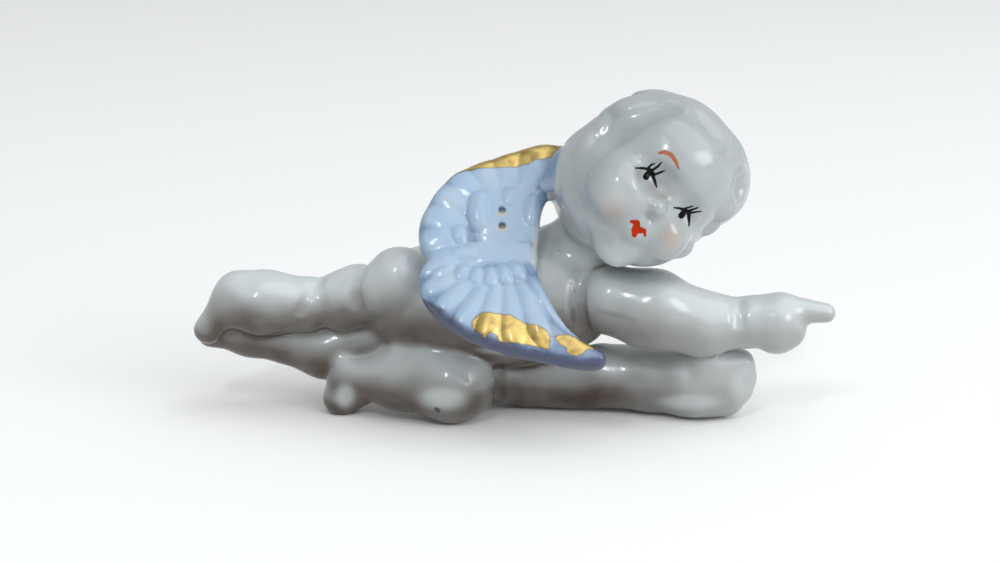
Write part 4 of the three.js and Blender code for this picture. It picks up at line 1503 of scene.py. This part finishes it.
    def glaze_coats(self) -> tuple[Coat, ...]:
        """What lies over the white porcelain, in order."""
        clay = self.porcelain
        return (
            # Greyer where the glaze is clouded, and in the folds, partly thick glaze and partly painted
            # shade
            Coat(clay.shade, (Fade("cloud", 0.35, 0.7), 0.5)),
            Coat(clay.shade, (Fade("fold", 0.1, 1.4), 0.6)),
            Coat(clay.dirt_and_shade, (Fade("fold", 0.55, 1.6), Fade("grime", 0.4, 0.62), 0.6)),
            # Painted brown shade on the undersides, with a painted reflection of a dark surface below,
            # mottled
            Coat(clay.underside_shade, ("underside_shade", "smoke")),
            # Painted grey shade over the head
            Coat(clay.grey, ("head", 0.6)),
            # Painted shade in the eye sockets
            Coat(clay.dirt_and_shade, ("socket", 0.42)),
            # Blush, soft as it is wiped on
            Coat(self.paint.blush, ("blush", 0.38)),
            # Brown stains that settled in the joints, and one open pit on the knee
            Coat(clay.stain, (Fade("stains", 1.4, -0.8, "blot"), "front", 0.55)),
            Coat(clay.speck, (Fade("pit", 0.8, -0.8, "blot"), "front", 0.8)))

    def wing_coats(self) -> tuple[Coat, ...]:
        """What lies over the wings' pale blue, in order."""
        return (
            # Deeper blue between the feathers: pooled glaze and painted shade
            Coat(self.wing.deep, (Fade("between", 0.25, 1.0), 0.9)),
            Coat(self.wing.cream, (Fade("streak", 0.45, 0.7), 0.22)),
            # Slate on the lower rim: slate glaze, and painted shade where the rim turns down
            Coat(self.wing.slate, (Fade("rim", 1.9, 0.3, "brush"),)),
            Coat(self.wing.cream, (Fade("worn", 3.0, -2.0, "blot"), 0.8)),
            # Bare porcelain round the hanging holes
            Coat(self.porcelain.unglazed, (Fade("bare", 0.3, -0.5, "blot"), "front", 0.85)))

    def share(self, tree: NodeTree, values: Sockets, factors: tuple[Factor, ...]) -> NodeSocket:
        """Product of fades, masks and numbers.

        Args:
            tree: The material's nodes.
            values: Sockets of the masks and patterns by name.
            factors: What to multiply.

        Returns:
            The product.
        """
        product = None
        for factor in factors:
            if isinstance(factor, Fade):
                mask = values[factor.mask]
                if factor.uneven:
                    inputs = {0: mask, 1: values[factor.uneven]}
                    mask = add(tree, "ShaderNodeMath", inputs, operation="ADD").outputs[0]
                inputs = {0: mask, 1: factor.none, 2: factor.full, 3: factor.least}
                faded = add(tree, "ShaderNodeMapRange", inputs, interpolation_type="SMOOTHSTEP")
                step = faded.outputs[0]
            else:
                step = values[factor] if isinstance(factor, str) else factor
            if product is None:
                product = step
            else:
                inputs = {0: product, 1: step}
                product = add(tree, "ShaderNodeMath", inputs, operation="MULTIPLY").outputs[0]
        return product

    def coated(self, tree: NodeTree, values: Sockets, under: Colour, coats: tuple[Coat, ...]) -> Colour:
        """A colour with coats laid over it.

        Args:
            tree: The material's nodes.
            values: Sockets of the masks and patterns by name.
            under: Hex value or socket of the first colour.
            coats: The coats in order; a coat's colour may be a socket too.

        Returns:
            The colour on top.
        """
        for coat in coats:
            below = linear(under) if isinstance(under, str) else under
            top = linear(coat.colour) if isinstance(coat.colour, str) else coat.colour
            inputs = {0: self.share(tree, values, coat.shares), 6: below, 7: top}
            under = add(tree, "ShaderNodeMix", inputs, data_type="RGBA").outputs[2]
        return under

    def brushed(self, tree: NodeTree, seen: NodeSocket, strokes: tuple[Stroke, ...]) -> NodeSocket:
        """Distance in pixels to the nearest edge of a set of strokes, negative on them.

        Args:
            tree: The material's nodes.
            seen: Where each point is seen, in pixels.
            strokes: The strokes.

        Returns:
            The distance.
        """
        nearest = None
        for stroke in strokes:
            along = np.subtract(stroke.end, stroke.start)
            scaled = along / float(along @ along)
            inputs = {0: seen, 1: (*stroke.start, 0.0)}
            off = add(tree, "ShaderNodeVectorMath", inputs, operation="SUBTRACT").outputs[0]
            inputs = {0: off, 1: (*scaled, 0.0)}
            run = add(tree, "ShaderNodeVectorMath", inputs, operation="DOT_PRODUCT").outputs[1]
            run = add(tree, "ShaderNodeClamp", {0: run}).outputs[0]
            inputs = {0: (*along, 0.0), 3: run}
            foot = add(tree, "ShaderNodeVectorMath", inputs, operation="SCALE").outputs[0]
            inputs = {0: off, 1: foot}
            away = add(tree, "ShaderNodeVectorMath", inputs, operation="DISTANCE").outputs[1]
            inputs = {0: run, 1: stroke.wide - stroke.narrow, 2: -stroke.wide}
            half = add(tree, "ShaderNodeMath", inputs, operation="MULTIPLY_ADD").outputs[0]
            edge = add(tree, "ShaderNodeMath", {0: away, 1: half}, operation="ADD").outputs[0]
            if nearest is not None:
                inputs = {0: nearest, 1: edge}
                edge = add(tree, "ShaderNodeMath", inputs, operation="MINIMUM").outputs[0]
            nearest = edge
        return nearest

    def named_values(self, tree: NodeTree, place: NodeSocket) -> Sockets:
        """Sockets of every mask, pattern and set of strokes, by name.

        Args:
            tree: The material's nodes.
            place: Place on the object, in metres.

        Returns:
            The sockets by name.
        """
        values = {}
        for name in MASKS:
            values[name] = add(tree, "ShaderNodeAttribute", attribute_name=name).outputs["Fac"]
        for name, pattern in self.patterns.items():
            inputs = {"Vector": place, "Scale": MILLIMETRES / pattern.lump, "Detail": pattern.detail}
            values[name] = add(tree, "ShaderNodeTexNoise", inputs).outputs["Fac"]
            if pattern.hollow or pattern.top != 1.0:
                inputs = {0: values[name], 3: pattern.hollow, 4: pattern.top}
                values[name] = add(tree, "ShaderNodeMapRange", inputs, clamp=False).outputs[0]
        seen = add(tree, "ShaderNodeAttribute", attribute_name="seen").outputs["Vector"]
        clay, paint = self.porcelain, self.paint
        touches = {
            "stains": clay.stains, "pit": (clay.pit,), "bare": clay.rims, "worn": self.wing.worn,
            "lips": paint.lips, "brows": paint.brows, "eyes": paint.eyes}
        for name, strokes in touches.items():
            values[name] = self.brushed(tree, seen, strokes)
        values["front"] = self.share(tree, values, (Fade("facing", 0.02, 0.15),))
        values["wing"] = self.share(tree, values, (Fade("on_wing", 0.3, 0.6, "wash"),))
        inputs = {0: values["gold_edge"], 1: values["torn"]}
        values["torn_edge"] = add(tree, "ShaderNodeMath", inputs, operation="ADD").outputs[0]
        inputs = {0: values["torn_edge"]}
        values["border"] = add(tree, "ShaderNodeMath", inputs, operation="ABSOLUTE").outputs[0]
        inputs = {"Vector": place, "Scale": MILLIMETRES / clay.speck_spacing}
        specks = add(tree, "ShaderNodeTexVoronoi", inputs).outputs["Distance"]
        inputs = {0: values["speckled"], 1: clay.speck_growth, 2: values["rare"]}
        size = add(tree, "ShaderNodeMath", inputs, operation="MULTIPLY_ADD").outputs[0]
        inputs = {0: specks, 1: size}
        values["off_speck"] = add(tree, "ShaderNodeMath", inputs, operation="SUBTRACT").outputs[0]
        return values

    def material(self) -> bpy.types.Material:
        """The glazed and painted porcelain."""
        made = bpy.data.materials.new("glazed_slip_cast_porcelain")
        made.use_nodes = True
        tree = made.node_tree
        tree.nodes.clear()
        clay, wing, gold, paint = self.porcelain, self.wing, self.gold, self.paint
        values = self.named_values(tree, add(tree, "ShaderNodeTexCoord").outputs["Object"])
        colour = self.coated(tree, values, clay.white, self.glaze_coats())
        blue = self.coated(tree, values, wing.pale, self.wing_coats())
        values["gilt"] = self.share(tree, values, (Fade("torn_edge", 0.06, -0.06), "wing"))
        wear = Coat(gold.worn, (Fade("lustre", 0.4, 0.75),))
        lustre = self.coated(tree, values, gold.metal, (wear,))
        colour = self.coated(tree, values, colour, (
            Coat(blue, ("wing",)),
            Coat(lustre, ("gilt",)),
            Coat(gold.line, (Fade("border", 0.22, 0.08), "wing", 0.45))))
        metallic = self.share(tree, values, ("gilt", Fade("rubbed", 0.72, 0.6, least=0.65)))
        painted = 0.0
        enamels = (("lips", paint.red, 1.0), ("brows", paint.brow, 0.9), ("eyes", paint.black, 1.0))
        for name, pigment, strength in enamels:
            values[name] = self.share(tree, values, (Fade(name, 0.55, -0.15), "front", strength))
            colour = self.coated(tree, values, colour, (Coat(pigment, (name,)),))
            inputs = {0: painted, 1: values[name]}
            painted = add(tree, "ShaderNodeMath", inputs, operation="MAXIMUM").outputs[0]
        # Kiln specks, few and small
        specks = Coat(clay.speck, (Fade("off_speck", 0.012, 0.0), 0.75))
        colour = self.coated(tree, values, colour, (specks,))

        levels = {}
        for name, by, change, start in (
            ("shine", values["wing"], wing.roughness - clay.roughness, clay.roughness),
            ("specular", painted, clay.painted_specular - clay.specular, clay.specular),
            ("coat", painted, -clay.coat, clay.coat),
        ):
            inputs = {0: by, 1: change, 2: start}
            levels[name] = add(tree, "ShaderNodeMath", inputs, operation="MULTIPLY_ADD").outputs[0]
        inputs = {0: metallic, 1: gold.roughness - wing.roughness, 2: levels["shine"]}
        shine = add(tree, "ShaderNodeMath", inputs, operation="MULTIPLY_ADD").outputs[0]
        ripple = add(tree, "ShaderNodeBump", {
            "Strength": clay.ripple_strength,
            "Distance": clay.ripple_depth,
            "Height": values["ripple"],
        })
        shader = add(tree, "ShaderNodeBsdfPrincipled", {
            "Base Color": colour,
            "Metallic": metallic,
            "Roughness": shine,
            "IOR": clay.ior,
            "Specular IOR Level": levels["specular"],
            "Coat Weight": levels["coat"],
            "Coat Roughness": clay.coat_roughness,
            "Subsurface Weight": clay.subsurface,
            "Subsurface Radius": clay.subsurface_radius,
            "Subsurface Scale": clay.subsurface_scale,
            "Normal": ripple.outputs[0],
        })
        add(tree, "ShaderNodeOutputMaterial", {"Surface": shader.outputs[0]})
        return made


def build_casting(figurine: Figurine, decoration: Decoration) -> bpy.types.Object:
    """Meshes the figurine and dresses it.

    Args:
        figurine: Its masses.
        decoration: Its finishes.

    Returns:
        The Blender object.
    """
    widen = 1.0
    spans = tuple(tuple((a, b, step * widen) for a, b, step in axis) for axis in figurine.spans)
    skin = Skin(figurine.distance, spans)
    p = skin.points
    normal = in_pieces(lambda q: Figurine.gradient(figurine.distance, q, NORMAL_STEP), p)
    resting = np.abs(p[:, 2]) < RESTING
    p[resting, 2] = 0.0
    mesh = bpy.data.meshes.new(NODE + "_casting")
    mesh.from_pydata((p * METRES).tolist(), [], skin.quads.tolist())
    mesh.polygons.foreach_set("use_smooth", [True] * len(mesh.polygons))
    mesh.update()
    for name, values in decoration.masks(figurine, p, normal).items():
        mask = mesh.attributes.new(name, "FLOAT", "POINT")
        mask.data.foreach_set("value", np.ascontiguousarray(values, np.float32))
    seen = mesh.attributes.new("seen", "FLOAT_VECTOR", "POINT")
    flat = np.concatenate([figurine.sight.seen(p), np.zeros((len(p), 1))], 1)
    seen.data.foreach_set("vector", np.ascontiguousarray(flat, np.float32).ravel())
    mesh.normals_split_custom_set_from_vertices(normal.tolist())
    mesh.materials.append(decoration.material())
    piece = bpy.data.objects.new(NODE + "_casting", mesh)
    bpy.context.scene.collection.objects.link(piece)
    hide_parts(NODE)
    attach(piece, "root")
    log.info("%s: %d quads, %d points", piece.name, len(skin.quads), len(p))
    return piece


@dataclass(frozen=True)
class Lamp:
    """A rectangular soft light: place and size in metres, power in watts."""

    name: str
    at: tuple[float, float, float]
    size: tuple[float, float]
    power: float


@dataclass(frozen=True)
class Studio:
    """Pale floor, soft light from above and the camera."""

    lamps: tuple[Lamp, ...] = (
        Lamp("overhead", (0.66, -0.40, 1.05), (1.8, 1.5), 11.5),
        Lamp("window", (-0.24, -0.75, 0.80), (0.22, 0.10), 1.8),
        Lamp("reflector", (1.0, -0.60, 0.50), (0.5, 0.5), 3.5))
    aim: tuple[float, float, float] = (0.0, 0.0, 0.03)
    clip: tuple[float, float] = (0.01, 50.0)
    floor_width: float = 8.0
    floor_roughness: float = 0.8
    floor: str = "#fbfbfa"
    sky: str = "#f4f6f8"
    sky_strength: float = 0.6
    sensor: float = 36.0

    def build_floor(self) -> None:
        """A plain painted board, wide enough for every view."""
        half = self.floor_width / 2
        mesh = bpy.data.meshes.new("studio_floor")
        corners = [(-half, -half, 0), (half, -half, 0), (half, half, 0), (-half, half, 0)]
        mesh.from_pydata(corners, [], [(0, 1, 2, 3)])
        board = bpy.data.objects.new("studio_floor", mesh)
        bpy.context.scene.collection.objects.link(board)
        made = bpy.data.materials.new("painted_board")
        made.use_nodes = True
        shader = made.node_tree.nodes["Principled BSDF"]
        shader.inputs["Base Color"].default_value = linear(self.floor)
        shader.inputs["Roughness"].default_value = self.floor_roughness
        mesh.materials.append(made)

    def build_light(self) -> None:
        """A soft box overhead, a small window in front, a reflector at the right and an even sky."""
        for lamp in self.lamps:
            light = bpy.data.lights.new(lamp.name, "AREA")
            light.shape = "RECTANGLE"
            light.size, light.size_y = lamp.size
            light.energy = lamp.power
            light.color = linear(self.sky)[:3]
            holder = bpy.data.objects.new(lamp.name, light)
            holder.location = lamp.at
            direction = np.array(self.aim) - np.array(lamp.at)
            yaw = math.atan2(direction[1], direction[0])
            tilt = math.acos(-direction[2] / np.linalg.norm(direction))
            holder.rotation_euler = (0.0, -tilt, yaw)
            bpy.context.scene.collection.objects.link(holder)
        world = bpy.data.worlds.new("studio")
        world.use_nodes = True
        background = world.node_tree.nodes["Background"]
        background.inputs["Color"].default_value = linear(self.sky)
        background.inputs["Strength"].default_value = self.sky_strength
        bpy.context.scene.world = world
        bpy.context.scene.view_settings.view_transform = "Standard"

    def build_camera(self, sight: Sightline) -> None:
        """Puts the camera at the sightline's eye.

        Args:
            sight: Where the figurine is seen from.
        """
        lens = bpy.data.cameras.new("camera")
        lens.sensor_width = self.sensor
        lens.lens = sight.focal / sight.width * self.sensor
        lens.clip_start, lens.clip_end = self.clip
        camera = bpy.data.objects.new("camera", lens)
        camera.location = sight.eye * METRES
        camera.rotation_euler = (math.radians(90.0 - sight.elevation), 0.0, 0.0)
        bpy.context.scene.collection.objects.link(camera)
        bpy.context.scene.camera = camera


def main() -> None:
    """Builds the figurine and its studio."""
    logging.basicConfig(level=logging.INFO)
    figurine = Figurine()
    build_casting(figurine, Decoration())
    studio = Studio()
    studio.build_floor()
    studio.build_light()
    studio.build_camera(figurine.sight)


if __name__ == "__main__":
    main()
